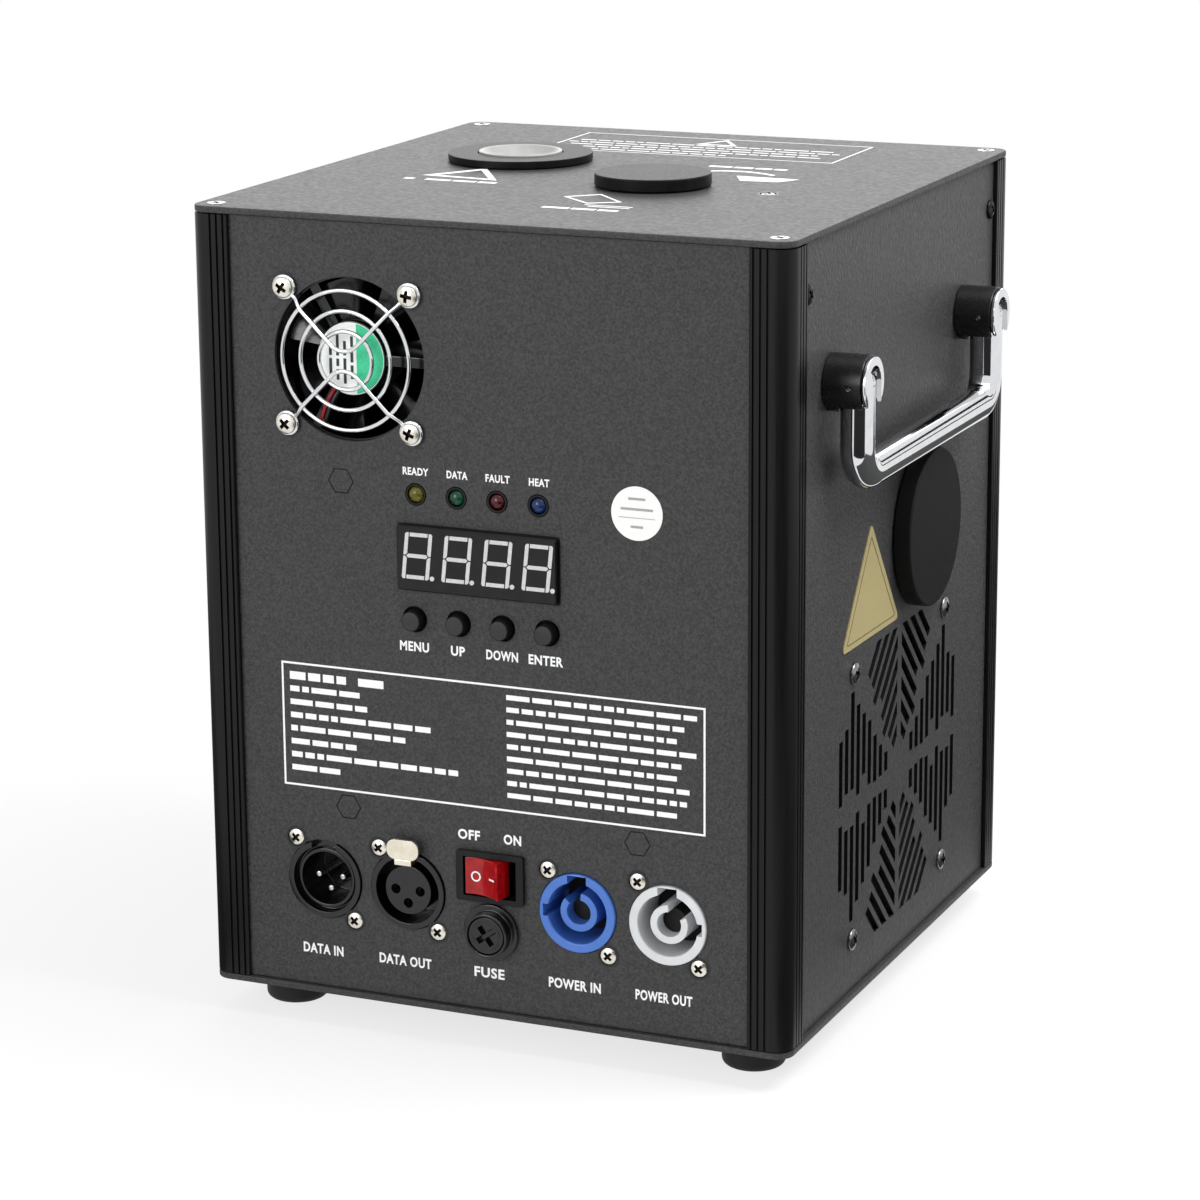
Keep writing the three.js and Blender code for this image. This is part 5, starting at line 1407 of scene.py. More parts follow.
def make_lamps():
    shoulder = 1.3
    rim_sunk = 0.8
    rim_proud = 0.12
    rim_bore_gap, rim_width = 0.1, 0.6
    rim_bore, rim_radius = lamp_radius + rim_bore_gap, lamp_radius + rim_width
    dome = arc(0, -shoulder, lamp_radius, 0, 90, steps=10)
    dome[-1] = (0, lamp_radius - shoulder)
    low = board_out + seat_gap
    for i, (name, finish) in enumerate(lamp_finishes.items()):
        where = at(FRONT, lamp_first_x + i * lamp_pitch, lamp_z)
        shape = turned([(0, low), (lamp_radius, low), *dome], steps=40)
        piece(f"{name}_lens", shape, where, finish, nodes=[name])
        # A matt black ring round each lens stands as painted shade in its hole in the panel.
        piece(f"{name}_rim", tube(rim_bore, rim_radius, -rim_sunk, rim_proud, steps=40), where, matt_black)


key_switch_height = 3.4
key_travel = 1
key_proud = 3.2
key_edge = 0.5
key_rim_radius = 4.2
key_rim_thickness = 1
key_face_depth = 0.6
key_face_share = 0.97


def in_key_side_shade(face):
    """Whether a face of a key lies outside its lighter front, where it takes a darker black as painted shade.
    """
    return face.normal.z < key_face_share or face.calc_center_median().z < key_proud - key_face_depth


def make_keys():
    back = board_out + key_switch_height + key_travel + running_gap
    rim_high = behind_panel
    rim_low = rim_high - key_rim_thickness
    profile = [(0, back), (key_radius, back), (key_radius, rim_low), (key_rim_radius, rim_low),
               (key_rim_radius, rim_high), (key_radius, rim_high), (key_radius, key_proud), (0, key_proud)]
    for i, name in enumerate(("menu", "up", "down", "enter")):
        key = eased(turned(profile, steps=48), key_edge, steps=4)
        where = at(FRONT, key_first_x + i * key_pitch, key_z)
        # The sides and rim of each key take soft black as painted shade; the front keeps the lighter key
        # black.
        piece(f"{name}_button", two_tone(key, in_key_side_shade), where, key_face, f"{name}_key",
              [f"{name}_key"], soft_black)


# Panel sockets

socket_proud = 0.9
socket_depth = 17.0
socket_flange_width = 26.0
socket_flange_height = 31.0
cavity_floor = -15.0
contact_carrier_top = -5.0
pin_circle = 4.0
pin_angles = [180, 0, 270]
socket_steps = 80
socket_over = 2
socket_screw_head = (2.6, 1.3)


def on_circle(radius, angle):
    return radius * math.cos(math.radians(angle)), radius * math.sin(math.radians(angle))


def solder_tag(back):
    """A tag that stands out behind a part whose back is at a height."""
    half_width = 1.2
    half_thickness = 0.4
    length = 5
    sunk = 1
    return block(-half_width, half_width, -half_thickness, half_thickness, back - length, back + sunk)


def socket_back(tag_circle, tag_angles):
    """The flange behind the panel and the solder tags at the back of a socket."""
    corner = 3
    thickness = 2
    overlap = 0.4
    bore = circle(socket_radius - overlap)
    rim = rounded(socket_flange_width, socket_flange_height, corner)
    tags = [moved(solder_tag(-socket_depth), *on_circle(tag_circle, angle)) for angle in tag_angles]
    return [sheet(rim, [bore], behind_panel - thickness, behind_panel), *tags]


def at_pins(make):
    """A shape made anew at each of the three pins' places."""
    return [moved(make(), *on_circle(pin_circle, angle)) for angle in pin_angles]


def contact_pin():
    """A pin of the data inlet, with a tapered end."""
    radius, tip = 1.2, 0.75
    foot, shoulder, high = cavity_floor - 1, -3.9, -3.2
    edge = 0.2
    profile = [(0, foot), (radius, foot), (radius, shoulder), (tip, high), (0, high)]
    return eased(turned(profile, steps=24), edge)


def make_data_in():
    lip, shell, cavity = 10.2, 9.3, 8.2
    groove, shell_out = -2.5, -0.6
    edge = 0.3
    notch_half = 4
    profile = [(0, -socket_depth), (socket_radius, -socket_depth), (socket_radius, socket_proud),
               (lip, socket_proud), (lip, groove), (shell, groove), (shell, shell_out), (cavity, shell_out),
               (cavity, cavity_floor), (0, cavity_floor)]
    notch = block(-notch_half, notch_half, shell, socket_radius + 1, groove, socket_over)
    barrel = carved(eased(turned(profile, socket_steps), edge), notch)
    where = at(FRONT, data_in_x, socket_z)
    piece("data_in_shell", gathered(barrel, *socket_back(pin_circle, pin_angles)), where, gloss_black,
          nodes=["data_in_socket"])
    piece("data_in_pins", gathered(*at_pins(contact_pin)), where, bright_steel)


def contact_hole():
    """The cutter for a hole of the data outlet, wider at its mouth."""
    radius, mouth = 1.3, 1.8
    floor, throat, face, over = -11, -0.2, 0.6, 1
    return turned([(0, floor), (radius, floor), (radius, throat), (mouth, face), (mouth, over), (0, over)],
                  steps=24)


def contact_sleeve():
    """The metal sleeve in a hole of the data outlet."""
    bore, radius = 0.8, 1.25
    low, high = -9, -5
    return tube(bore, radius, low, high, steps=20)


def release_tab():
    """The latch of the data outlet: a stem in its slot, with a rounded tab in front."""
    stem_half, stem_edge, stem_foot = 2.8, 0.3, -7
    stem_low, stem_thickness = 8.6, 1.8
    tab_width, tab_height, tab_edge = 10.4, 6.1, 0.35
    tab_out, tab_thickness = 2.4, 1.2
    tab_round_share = 0.45
    stem_high = stem_low + stem_thickness
    front = tab_out + tab_thickness
    stem = block(-stem_half, stem_half, stem_low, stem_high, stem_foot, front)
    lobe_round = tab_round_share * tab_height
    lobe = rounded(tab_width, tab_height, lobe_round, 0, stem_high + tab_height / 2, steps=10)
    tab = sheet(lobe, [], tab_out, front)
    return gathered(eased(stem, stem_edge), eased(tab, tab_edge, steps=3))


def make_data_out():
    lip, insert = 10.2, 7.5
    groove, face = -13.0, 0.2
    edge = 0.3
    slot_half, slot_low, slot_high, slot_floor = 3.2, 8.2, 10.8, -8.6
    profile = [(0, -socket_depth), (socket_radius, -socket_depth), (socket_radius, socket_proud),
               (lip, socket_proud), (lip, groove), (insert, groove), (insert, face), (0, face)]
    slot = block(-slot_half, slot_half, slot_low, slot_high, slot_floor, socket_over)
    barrel = carved(eased(turned(profile, socket_steps), edge), slot, *at_pins(contact_hole))
    where = at(FRONT, data_out_x, socket_z)
    piece("data_out_shell", gathered(barrel, *socket_back(pin_circle, pin_angles)), where, gloss_black,
          nodes=["data_out_socket"])
    piece("data_out_contacts", gathered(*at_pins(contact_sleeve)), where, warm_nickel)
    piece("release_tab", release_tab(), where, tab_nickel, "data_out_latch", ["data_out_latch"])


def split_core(core, bore, split_from, split_to):
    """The round core of a power socket, open between two angles."""
    edge = 0.3
    high = -0.5
    outer = arc(0, 0, core, split_to, split_from + 360, steps=48)
    inner = arc(0, 0, bore, split_from + 360, split_to, steps=40)
    return eased(sheet([*outer, *inner], [], cavity_floor - 1, high), edge)


def make_power_socket(name, x, finish, key_side, split_from, split_to):
    """A power socket with a notch above its core and a key way on one side."""
    ring_bore, core, core_bore = 9.3, 5.9, 3.7
    edge = 0.45
    notch_half, notch_reach = 3, ring_bore + 2.1
    key_half, key_reach = 1.85, ring_bore + 1.5
    floor_thickness = 0.8
    play = 0.1
    tag_circle, tag_angles = 6, [40, 140, 270]
    profile = [(0, -socket_depth), (socket_radius, -socket_depth), (socket_radius, socket_proud),
               (ring_bore, socket_proud), (ring_bore, cavity_floor), (0, cavity_floor)]
    barrel = eased(turned(profile, steps=96), edge, steps=3)
    notch = block(-notch_half, notch_half, core, notch_reach, cavity_floor, socket_over)
    key_from, key_to = sorted((key_side * core, key_side * key_reach))
    key_way = block(key_from, key_to, -key_half, key_half, cavity_floor, socket_over)
    barrel = carved(barrel, notch, key_way)
    where = at(FRONT, x, socket_z)
    shape = gathered(barrel, split_core(core, core_bore, split_from, split_to),
                     *socket_back(tag_circle, tag_angles))
    piece(f"{name}_body", shape, where, finish, nodes=[f"{name}_socket"])
    # A matt black floor, and a black rod in the core's bore, stand as painted shade deep in the socket.
    floor = sheet(circle(ring_bore - play), [], cavity_floor, cavity_floor + floor_thickness)
    carrier = rod(core_bore - play, cavity_floor, contact_carrier_top, steps=40)
    piece(f"{name}_floor", gathered(floor, carrier), where, matt_black)


def make_socket_screws():
    """The screws of the four sockets, each in a black cup that stands as painted shade in its hole."""
    cup_floor, cup_bore, cup_mouth, cup_proud = -1.2, 2.4, 2.75, 0.12
    head_in = -0.7
    for name, (x, z) in socket_screw_places().items():
        where = at(FRONT, x, z)
        profile = [(cup_bore, cup_floor), (socket_sink, cup_floor), (socket_sink, cup_proud),
                   (cup_mouth, cup_proud)]
        piece(f"{name}_cup", turned(profile, steps=36, hollow=True), where, gloss_black)
        screw(name, moved(pan_screw(*socket_screw_head), z=head_in), where, warm_nickel)


def make_sockets():
    make_data_in()
    make_data_out()
    make_power_socket("power_in", power_in_x, blue_plastic, key_side=-1, split_from=84, split_to=138)
    make_power_socket("power_out", power_out_x, grey_plastic, key_side=1, split_from=28, split_to=92)
    make_socket_screws()


# Mains switch

rocker_half = 6.3
rocker_rise = 3.5
rocker_dip = 1.7
rocker_tilt = 17.0
pivot_in = 3.0
bezel_width = 21.6
bezel_height = 15.4
bezel_corner = 1
bezel_edge = 0.35
bezel_out = 1.6
opening_width = 17.0
opening_height = 12.0
tub_back = -18
tub_floor = -16
switch_tag_x = 4.5
rocker_belly = [(-5.4, 0), (-2.2, -2), (2.2, -2), (5.4, 0)]


def rocker_face():
    """The radius of the rocker's hollow face and the height of its centre."""
    radius = (rocker_half ** 2 + rocker_dip ** 2) / (2 * rocker_dip)
    return radius, pivot_in + rocker_rise - rocker_dip + radius


def switch_bezel(opening):
    """The frame round the rocker, rounded along its front edges."""
    sharper_than = math.radians(57)
    level = bezel_out - 0.1
    bezel = sheet(rounded(bezel_width, bezel_height, bezel_corner), [opening], seat_gap, bezel_out)
    front = [e for e in bezel.edges
             if all(v.co.z > level for v in e.verts) and e.calc_face_angle() > sharper_than]
    bmesh.ops.bevel(
        bezel, geom=front, offset=bezel_edge, offset_type="OFFSET", segments=3, profile=0.5,
        affect="EDGES", clamp_overlap=True, material=-1)
    return bezel


def make_switch_body():
    opening = rectangle(opening_width, opening_height)
    tub = sheet(rectangle(tub_width, tub_height), [opening], tub_floor, bezel_out - seat_gap)
    floor = block(-tub_width / 2, tub_width / 2, -tub_height / 2, tub_height / 2, tub_back, tub_floor)
    half_thickness, half_width, tag_foot, tag_head = 0.4, 2.4, -24, -17
    tags = []
    for side in (-1, 1):
        middle = side * switch_tag_x
        tags.append(block(middle - half_thickness, middle + half_thickness, -half_width, half_width,
                          tag_foot, tag_head))
    piece("switch_body", gathered(switch_bezel(opening), tub, floor, *tags), at(FRONT, 0, switch_z),
          matt_black, nodes=["switch_frame"])


def rocker_lever():
    """The rocker's body, whose front is a hollow curve."""
    edge = 0.3
    radius, centre = rocker_face()
    sweep = math.degrees(math.asin(rocker_half / radius))
    front = arc(0, centre, radius, 270 + sweep, 270 - sweep, steps=24)
    half = opening_height / 2 - seat_gap
    return moved(eased(sheet([*front, *rocker_belly], [], -half, half), edge), turn=90, axis="X")


def rocker_marks():
    """The ring and the bar that stand for off and on, laid on the hollow front."""
    radius, centre = rocker_face()
    above = 0.09
    ring_x, ring_radius, ring_bore = -3.1, 1.6, 1.15
    bar_x, bar_length, bar_width = 3.0, 2.4, 0.55
    ring = printed(circle(ring_radius, steps=32), [circle(ring_bore, steps=32)])
    marks = []
    for x, shape in ((ring_x, ring), (bar_x, printed(rectangle(bar_length, bar_width)))):
        lean = math.degrees(math.asin(x / radius))
        high = centre - math.sqrt(radius ** 2 - x ** 2)
        marks.append(moved(moved(shape, turn=-lean, axis="Y"), x, 0, high + above))
    return gathered(*marks)


def make_switch():
    make_switch_body()
    tilt = Matrix.Rotation(math.radians(-rocker_tilt), 4, "Y")
    tilted = at(at(FRONT, 0, switch_z), 0, 0, -pivot_in) @ tilt
    piece("rocker_lever", rocker_lever(), tilted, switch_red, "switch_rocker", ["switch_rocker"])
    piece("rocker_marks", rocker_marks(), tilted, white_ink, "switch_rocker")


# Fuse

fuse_flange = 8.7
fuse_flange_out = 1.5
fuse_collar_out = 4.9
fuse_bore = 5.9
fuse_back = -27
fuse_cap_depth = 7.5
fuse_link_radius = 2.6
fuse_link_length = 20
fuse_cap_high = fuse_collar_out - seat_gap


def make_fuse_barrel(where):
    collar = fuse_collar_radius
    edge = 0.35
    nut_radius, nut_thickness, nut_overlap = 9, 3, 0.4
    well = fuse_cap_high - fuse_cap_depth - seat_gap
    link_bore = fuse_link_radius + running_gap
    link_foot = well - fuse_link_length - seat_gap
    profile = [(0, fuse_back), (collar, fuse_back), (collar, seat_gap), (fuse_flange, seat_gap),
               (fuse_flange, fuse_flange_out), (collar, fuse_flange_out), (collar, fuse_collar_out),
               (fuse_bore, fuse_collar_out), (fuse_bore, well), (link_bore, well), (link_bore, link_foot),
               (0, link_foot)]
    barrel = eased(turned(profile, steps=72), edge, steps=3)
    thread = circle(collar - nut_overlap)
    nut = sheet(circle(nut_radius, steps=6), [thread], behind_panel - nut_thickness, behind_panel)
    piece("fuse_barrel", gathered(barrel, nut, solder_tag(fuse_back)), where, gloss_black,
          nodes=["fuse_holder"])


def make_fuse_cap(where):
    """The cap with its driver slot, and the raised ring round the slot."""
    high = fuse_cap_high
    edge = 0.3
    slot_depth = 1.8
    slot_turn = 36
    over = 1
    foot = cross_outline(length=5.6, width=1.1)
    mouth = cross_outline(length=6.8, width=1.9)
    disc = eased(rod(fuse_bore - seat_gap, high - fuse_cap_depth, high, steps=56), edge)
    cross = plate([(foot, high - slot_depth), (mouth, high), (mouth, high + over)])
    cap = carved(disc, moved(cross, turn=slot_turn))
    piece("fuse_carrier_cap", cap, where, gloss_black, "fuse_cap", ["fuse_cap"])
    sunk, proud = 0.1, 0.12
    bead = [(3.9, high - sunk), (4.1, high + proud), (4.5, high + proud), (4.7, high - sunk)]
    piece("fuse_cap_bead", turned(bead, steps=48, hollow=True), where, gloss_black, "fuse_cap")


def make_fuse():
    where = at(FRONT, 0, fuse_z)
    make_fuse_barrel(where)
    make_fuse_cap(where)


# Printing

# Each row of words by its height on the panel: the letters' height, then each word, its place and its width
label_rows = {
    163.5: (2.1, [("READY", -22.3, 8.2), ("DATA", -9.1, 6.6), ("FAULT", 3.7, 7.6), ("HEAT", 16.7, 6.4)]),
    111.2: (2.7, [("MENU", -23.7, 9.4), ("UP", -9.7, 4.5), ("DOWN", 4.4, 10.1), ("ENTER", 18.2, 10.8)]),
    55.7: (2.8, [("OFF", -7.1, 7.1), ("ON", 6.9, 5.6)]),
    13.6: (2.9, [("DATA IN", -56.1, 13.4), ("DATA OUT", -28.7, 17.2), ("FUSE", -1.1, 9.8),
                 ("POWER IN", 26.4, 16.6), ("POWER OUT", 54.6, 17.8)]),
}
word_lengths = [5.2, 3.1, 7.4, 4.0, 2.2, 6.1, 3.6, 8.3]
word_gap = 0.9
word_step = 3

# The framed block on the front: its frame, then the two columns of lines in it
info_frame = (-67.7, 67.6, 64.3, 102.4)
info_line = 0.6
info_left = -65.0
info_left_ends = [-33.0, -42.0, -38.0, -19.0, -26.0, -41.0, -9.0, -49.0]
info_left_high = 98.3
info_left_pitch = 4.05
info_heading_bar = 2.4
info_left_bar = 1.7
info_right = 5.5
info_right_end = 65.0
info_right_ragged = 3.1
info_right_rows = 9
info_right_high = 98.9
info_right_pitch = 3.7
info_right_bar = 1.5


def frame_lines(left, right, low, high, line):
    """A thin printed rectangle."""
    outer = rectangle(right - left, high - low, (left + right) / 2, (low + high) / 2)
    inner = rectangle(right - left - 2 * line, high - low - 2 * line, (left + right) / 2, (low + high) / 2)
    return printed(outer, [inner])


def text_bar(x_from, x_to, y, height):
    """A plain bar that stands where a line of small print would be."""
    return printed(rectangle(x_to - x_from, height, (x_from + x_to) / 2, y))


def word_bars(x_from, x_to, y, height, first_word):
    """A line of plain bars broken as words are."""
    bars = []
    x = x_from
    word = first_word
    while x < x_to:
        end = min(x + word_lengths[word % len(word_lengths)], x_to)
        if end - x > height:
            bars.append(text_bar(x, end, y, height))
        x = end + word_gap
        word += word_step
    return bars


def front_words():
    words = []
    for z, (height, row) in label_rows.items():
        words += [lettering(text, width, height, x, z) for text, x, width in row]
    return gathered(*words)


def front_info_lines():
    """The framed block on the front, with plain bars where it has small print."""
    bars = [frame_lines(*info_frame, info_line)]
    for i, end in enumerate(info_left_ends):
        height = info_left_bar if i else info_heading_bar
        bars += word_bars(info_left, end, info_left_high - info_left_pitch * i, height, i)
    for i in range(info_right_rows):
        end = info_right_end - info_right_ragged * (i % 3)
        bars += word_bars(info_right, end, info_right_high - info_right_pitch * i, info_right_bar, i + 2)
    return gathered(*bars)


def make_front_prints():
    piece("front_words", front_words(), FRONT, white_ink)
    piece("front_info_lines", front_info_lines(), FRONT, white_ink)


sticker_x = 46.8
sticker_z = 157.1
sticker_radius = 7.85
sticker_thickness = 0.12
sticker_rows = [(-2.6, 2.6, 4.2, 0.7), (-4.9, 4.9, 1.2, 0.7), (-5.6, 5.6, -1.3, 0.2), (-1.9, 1.9, -3.9, 0.7)]


def make_sticker():
    """A round white sticker with three plain bars and a line."""
    where = at(FRONT, sticker_x, sticker_z)
    paper = sheet(circle(sticker_radius), [], 0, sticker_thickness)
    piece("check_sticker", paper, where, sticker_white)
    rows = [text_bar(*row) for row in sticker_rows]
    piece("check_sticker_print", gathered(*rows), at(where, 0, 0, sticker_thickness), sticker_ink)


def middle_of(points):
    return sum((Vector(p) for p in points), Vector((0, 0))) / len(points)


def triangle(points, inset):
    """A triangle drawn in towards its middle."""
    middle = middle_of(points)
    drawn = []
    for p in points:
        ray = Vector(p) - middle
        drawn.append(tuple(middle + ray * (1 - inset / ray.length)))
    return drawn


def soft_corners(points, radius, steps=5):
    """An outline with its corners rounded."""
    outline = []
    count = len(points)
    for i, p in enumerate(points):
        here = Vector(p)
        before = (Vector(points[i - 1]) - here).normalized()
        after = (Vector(points[(i + 1) % count]) - here).normalized()
        half = before.angle(after) / 2
        reach = radius / math.tan(half)
        start = here + before * reach
        end = here + after * reach
        for k in range(steps + 1):
            share = k / steps
            outline.append(tuple(start.lerp(here, share).lerp(here.lerp(end, share), share)))
    return outline


sign_corners = [(-51.3, 108.8), (-1.5, 108.1), (-26.9, 143.1)]
sign_thickness = 0.35
sign_round = 1.6
sign_line_proud = 0.05
sign_line_insets = (3.8, 4.6)
sign_line_rounds = (0.8, 0.6)


def make_yellow_plate():
    """A bare yellow plate with three corners and a thin line round it."""
    outline = soft_corners(sign_corners, sign_round)
    border, inner = [
        soft_corners(triangle(sign_corners, inset), radius)
        for inset, radius in zip(sign_line_insets, sign_line_rounds)]
    piece("yellow_plate", sheet(outline, [], 0, sign_thickness), RIGHT, plate_yellow)
    ridge = moved(sheet(border, [inner], 0, sign_line_proud), z=sign_thickness)
    piece("yellow_plate_line", ridge, RIGHT, plate_brown)


top_screw_x = 55.7
top_screw_y = -17.2
top_screw_hole = 3.0
top_screw_head = (2.3, 1.3)

# The framed block on the cover: its frame, then the two ends of each line in it
cover_frame = (-46.0, 52.2, 46.8, 85.0)
cover_frame_line = 0.55
cover_rows = [(-41.9, 45.2), (-44.0, 48.0), (-41.5, 43.0), (-35.2, 46.0), (-30.3, 15.3)]
cover_row_high = 69.3
cover_row_pitch = 4.6
cover_row_bar = 1.1
# The loose lines on the cover: both ends, the height and the first word of each
loose_lines = [(18.9, 45.6, 28.4, 2), (-58.0, -27.6, -27.2, 1), (1.0, 29.0, -64.0, 4)]
loose_line_bar = 2.4
small_triangle = [(-3.2, 71.6), (10.9, 71.6), (3.4, 83.5)]
large_triangle = [(-55.4, -20.0), (-29.6, -22.4), (-43.0, -0.7)]
rhomb = [(10.6, -36.0), (2.0, -44.0), (13.7, -54.0), (22.3, -48.3)]
rhomb_inner_share = 0.86
rhomb_bars = [(14.0, 29.0, -56.2, 0.8), (16.0, 29.0, -58.6, 0.8)]
pour_curve = [(20.5, 17.4), (29, 20.8), (37, 20.2), (44.6, 16.8)]
pour_half_width = 0.9
scoop = [(38.8, 3.2), (50.6, 4.6), (54.6, 11.4), (34.2, 12.2)]


def printed_rhomb():
    middle = middle_of(rhomb)
    inner = [tuple(middle.lerp(Vector(p), rhomb_inner_share)) for p in rhomb]
    return printed(rhomb, [inner])


def printed_curve():
    """The curved stroke beside the filling cap."""
    path = smooth_path(raised(pour_curve, 0))
    upper = [(p.x, p.y + pour_half_width) for p in path]
    lower = [(p.x, p.y - pour_half_width) for p in reversed(path)]
    return printed([*lower, *upper][::-1])


def make_top_prints():
    shapes = [frame_lines(*cover_frame, cover_frame_line)]
    for i, (left, right) in enumerate(cover_rows):
        shapes += word_bars(left, right, cover_row_high - cover_row_pitch * i, cover_row_bar, i)
    shapes.append(printed(small_triangle, [triangle(small_triangle, inset=2.4)]))
    for left, right, y, first_word in loose_lines:
        shapes += word_bars(left, right, y, loose_line_bar, first_word)
    shapes.append(printed(large_triangle, [triangle(large_triangle, inset=4.2)]))
    shapes.append(printed_rhomb())
    shapes += [text_bar(*bar) for bar in rhomb_bars]
    shapes.append(printed_curve())
    shapes.append(printed(scoop))
    piece("top_prints", gathered(*shapes), TOP, white_ink)


def make_top_screw():
    """The small grounding screw in its black cup."""
    cup_foot, cup_floor, cup_bore = -1.6, -1.4, 2.6
    head_in = -1.0
    profile = [(0, cup_foot), (top_screw_hole, cup_foot), (top_screw_hole, 0), (cup_bore, 0),
               (cup_bore, cup_floor), (0, cup_floor)]
    where = at(TOP, top_screw_x, top_screw_y)
    piece("top_screw_cup", turned(profile, steps=32), where, gloss_black)
    screw("top_small_screw", moved(pan_screw(*top_screw_head), z=head_in), where, bright_steel)


panel_screw_y = 81.5
panel_screw_z = 220
panel_screw_head = (3.0, 1.4)


def make_side_screws():
    for side, face, across in (("right", RIGHT, 1), ("left", LEFT, -1)):
        for end, y in (("front", -panel_screw_y), ("rear", panel_screw_y)):
            where = at(face, across * y, panel_screw_z)
            screw(f"panel_screw_{side}_{end}", pan_screw(*panel_screw_head), where, black_screw)


# Nodes that stay as they are

inner_finishes = {
    "control_board": board, "hopper": dull_aluminium, "auger": bright_steel, "feed_motor": dull_aluminium,
    "heater_core": fibre, "blower_housing": matt_black, "blower_wheel": matt_black, "power_supply": board,
    "fuse_link": fuse_glass}


def dress_nodes():
    for name, finish in inner_finishes.items():
        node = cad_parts[name]
        node.data.materials.clear()
        node.data.materials.append(finish[0])


def make_casing():
    make_plates()
    make_posts()
    make_front_panel()
    make_plain_panels()
    make_right_panel()
    make_feet()
    make_handles()
    make_nozzle()
    make_caps()
    make_side_screws()


def make_fittings():
    make_front_fan()
    make_side_fan()
    make_display()
    make_lamps()
    make_keys()
    make_sockets()
    make_switch()
    make_fuse()


def make_prints():
    make_front_prints()
    make_sticker()
    make_yellow_plate()
    make_top_prints()
    make_top_screw()


# Camera, lights and floor

camera_azimuth = math.radians(23.482)
camera_elevation = math.radians(14.578)
camera_roll = math.radians(-0.390)
camera_across = -6.585
camera_up = 100.924
camera_back = 1240.79
image_width = 1200
focal_pixels = 3903.49
sensor_width = 36.0
nearest_seen = 0.05
furthest_seen = 100


def make_camera():
    a, e = camera_azimuth, camera_elevation
    right = Vector((math.cos(a), math.sin(a), 0))
    up = Vector((-math.sin(a) * math.sin(e), math.cos(a) * math.sin(e), math.cos(e)))
    back = Vector((math.sin(a) * math.cos(e), -math.cos(a) * math.cos(e), math.sin(e)))
    across = right * math.cos(camera_roll) + up * math.sin(camera_roll)
    upward = up * math.cos(camera_roll) - right * math.sin(camera_roll)
    place = across * camera_across + upward * camera_up + back * camera_back
    camera = bpy.data.objects.new("camera", bpy.data.cameras.new("camera"))
    scene.collection.objects.link(camera)
    camera.data.sensor_width = sensor_width
    camera.data.lens = focal_pixels / image_width * sensor_width
    camera.data.clip_start = nearest_seen
    camera.data.clip_end = furthest_seen
    turned_to = Matrix((across, upward, back)).transposed().to_4x4()
    camera.matrix_world = Matrix.Translation(MACHINE @ place) @ turned_to
    scene.camera = camera


def add_softbox(name, place, target, width, height, power):
    light = bpy.data.lights.new(name, "AREA")
    light.shape = "RECTANGLE"
    light.size = width
    light.size_y = height
    light.energy = power
    holder = bpy.data.objects.new(name, light)
    scene.collection.objects.link(holder)
    holder.location = place
    holder.rotation_mode = "QUATERNION"
    holder.rotation_quaternion = (Vector(target) - Vector(place)).to_track_quat("-Z", "Y")
    holder.visible_camera = False


def add_card(name, place, target, width, height, material):
    """A dark card by the set that only polished metal shows."""
    bm = bmesh.new()
    bmesh.ops.create_grid(bm, x_segments=1, y_segments=1, size=0.5)
    bmesh.ops.scale(bm, verts=bm.verts, vec=(width, height, 1))
    turn = (Vector(target) - Vector(place)).to_track_quat("Z", "Y").to_matrix().to_4x4()
    mesh = mesh_of(bm)
    mesh.transform(Matrix.Translation(place) @ turn)
    mesh.materials.append(material)
    card = bpy.data.objects.new(name, mesh)
    scene.collection.objects.link(card)
    card.visible_camera = False
    card.visible_diffuse = False
    card.visible_transmission = False
    card.visible_shadow = False


# Name, place, what it faces, width, height and power of each lamp
softboxes = [
    ("softbox_top", (0.2, 0.3, 1.5), (0, 0, 0.12), 1.4, 1.4, 8),
    ("softbox_back", (-0.5, 1.4, 0.8), (0, 0, 0.237), 1.6, 0.8, 6),
    ("softbox_right", (0.6, 0.05, 1.0), (0.09, 0, 0.2), 0.5, 0.5, 10),
    ("softbox_front", (-0.6, -1.7, 0.9), (0, 0, 0.12), 1.0, 1.0, 16),
]
# Name, place, what it faces, width and height of each card
black_cards = [
    ("card_near", (0.263, -0.31, 0.09), (0.1, 0, 0.165), 0.45, 0.2),
    ("card_far_high", (0.447, 0.8, 0.39), (0.1, 0, 0.165), 0.6, 0.07),
    ("card_far_low", (0.5, 0.8, 0.24), (0.1, 0, 0.165), 0.6, 0.04),
]
grey_cards = [
    ("card_floor_right", (0.36, 0.3, 0.001), (0.36, 0.3, 1), 0.5, 1.0),
    ("card_floor_left", (-0.36, 0.3, 0.001), (-0.36, 0.3, 1), 0.5, 1.0),
]


def make_lights():
    card_roughness = 0.9
    for lamp in softboxes:
        add_softbox(*lamp)
    black = base_material("dark_card", shade(10, 10, 10), card_roughness)[0]
    for card in black_cards:
        add_card(*card, black)
    grey = base_material("grey_card", shade(50, 50, 50), card_roughness)[0]
    for card in grey_cards:
        add_card(*card, grey)


def seen_directly(tree):
    """One for what the camera sees, itself or through metal and glass, and nothing for other light."""
    path = tree.nodes.new("ShaderNodeLightPath")
    value = path.outputs["Is Camera Ray"]
    for name in ("Is Glossy Ray", "Is Transmission Ray"):
        either = tree.nodes.new("ShaderNodeMath")
        either.operation = "MAXIMUM"
        tree.links.new(value, either.inputs[0])
        tree.links.new(path.outputs[name], either.inputs[1])
        value = either.outputs[0]
    return value


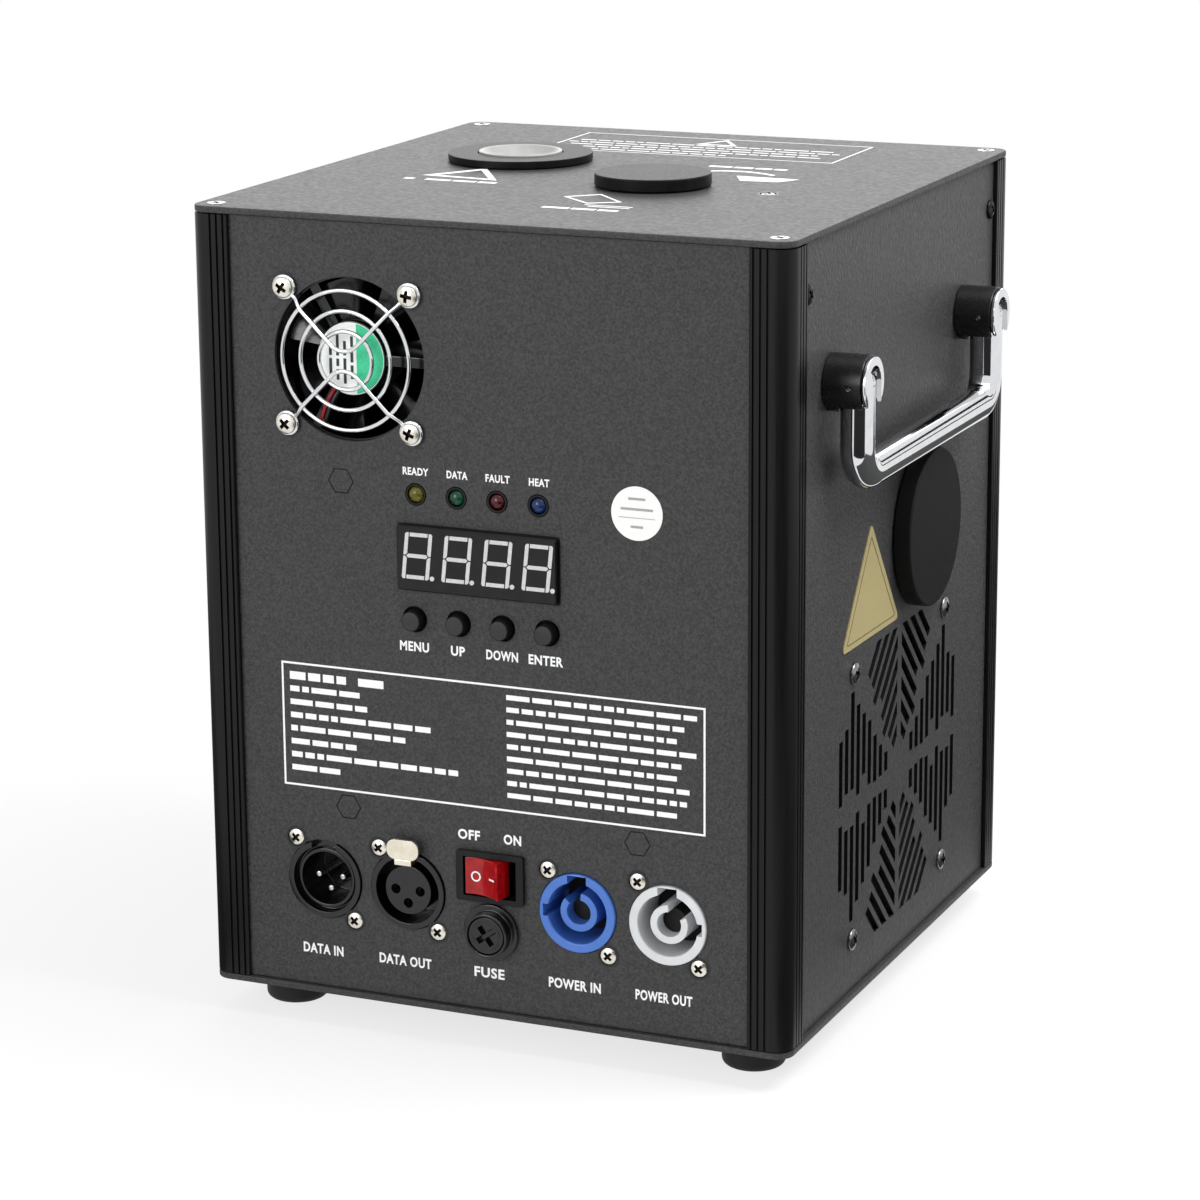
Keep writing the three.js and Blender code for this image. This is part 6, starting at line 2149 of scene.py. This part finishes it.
def make_world():
    """A white surround to the eye that lights the object at a plain level."""
    level = 0.42
    world = bpy.data.worlds.new("studio")
    scene.world = world
    world.use_nodes = True
    tree = world.node_tree
    background = tree.nodes["Background"]
    background.inputs["Color"].default_value = (level, level, level, 1)
    background.inputs["Strength"].default_value = 1
    seen = tree.nodes.new("ShaderNodeBackground")
    seen.inputs["Color"].default_value = (1, 1, 1, 1)
    mix = tree.nodes.new("ShaderNodeMixShader")
    tree.links.new(seen_directly(tree), mix.inputs[0])
    tree.links.new(background.outputs[0], mix.inputs[1])
    tree.links.new(seen.outputs[0], mix.inputs[2])
    tree.links.new(mix.outputs[0], tree.nodes["World Output"].inputs["Surface"])


def floor_material():
    """A pale floor that keeps the object's shadow and turns to plain white further out."""
    near_white = 0.75
    near = 0.18
    far = 0.5
    material, shader = base_material("studio_floor", shade(244, 244, 244), 0.9)
    tree = material.node_tree
    glow = tree.nodes.new("ShaderNodeEmission")
    glow.inputs["Color"].default_value = (1, 1, 1, 1)
    glow.inputs["Strength"].default_value = 1
    place = tree.nodes.new("ShaderNodeTexCoord")
    distance = tree.nodes.new("ShaderNodeVectorMath")
    distance.operation = "LENGTH"
    fade = tree.nodes.new("ShaderNodeMapRange")
    fade.inputs["From Min"].default_value = near
    fade.inputs["From Max"].default_value = far
    fade.inputs["To Min"].default_value = near_white
    fade.inputs["To Max"].default_value = 1
    weight = tree.nodes.new("ShaderNodeMath")
    weight.operation = "MULTIPLY"
    mix = tree.nodes.new("ShaderNodeMixShader")
    tree.links.new(place.outputs["Object"], distance.inputs[0])
    tree.links.new(distance.outputs["Value"], fade.inputs["Value"])
    tree.links.new(fade.outputs["Result"], weight.inputs[0])
    tree.links.new(seen_directly(tree), weight.inputs[1])
    tree.links.new(weight.outputs[0], mix.inputs[0])
    tree.links.new(shader.outputs[0], mix.inputs[1])
    tree.links.new(glow.outputs[0], mix.inputs[2])
    tree.links.new(mix.outputs[0], tree.nodes["Material Output"].inputs["Surface"])
    return material


def make_floor():
    floor_size = 40
    bm = bmesh.new()
    bmesh.ops.create_grid(bm, x_segments=1, y_segments=1, size=floor_size / 2)
    mesh = mesh_of(bm)
    mesh.materials.append(floor_material())
    floor = bpy.data.objects.new("floor", mesh)
    scene.collection.objects.link(floor)


scene.view_settings.view_transform = "Standard"
make_camera()
make_world()
make_lights()
make_floor()
make_casing()
make_fittings()
make_prints()
dress_nodes()

bpy.context.view_layer.update()
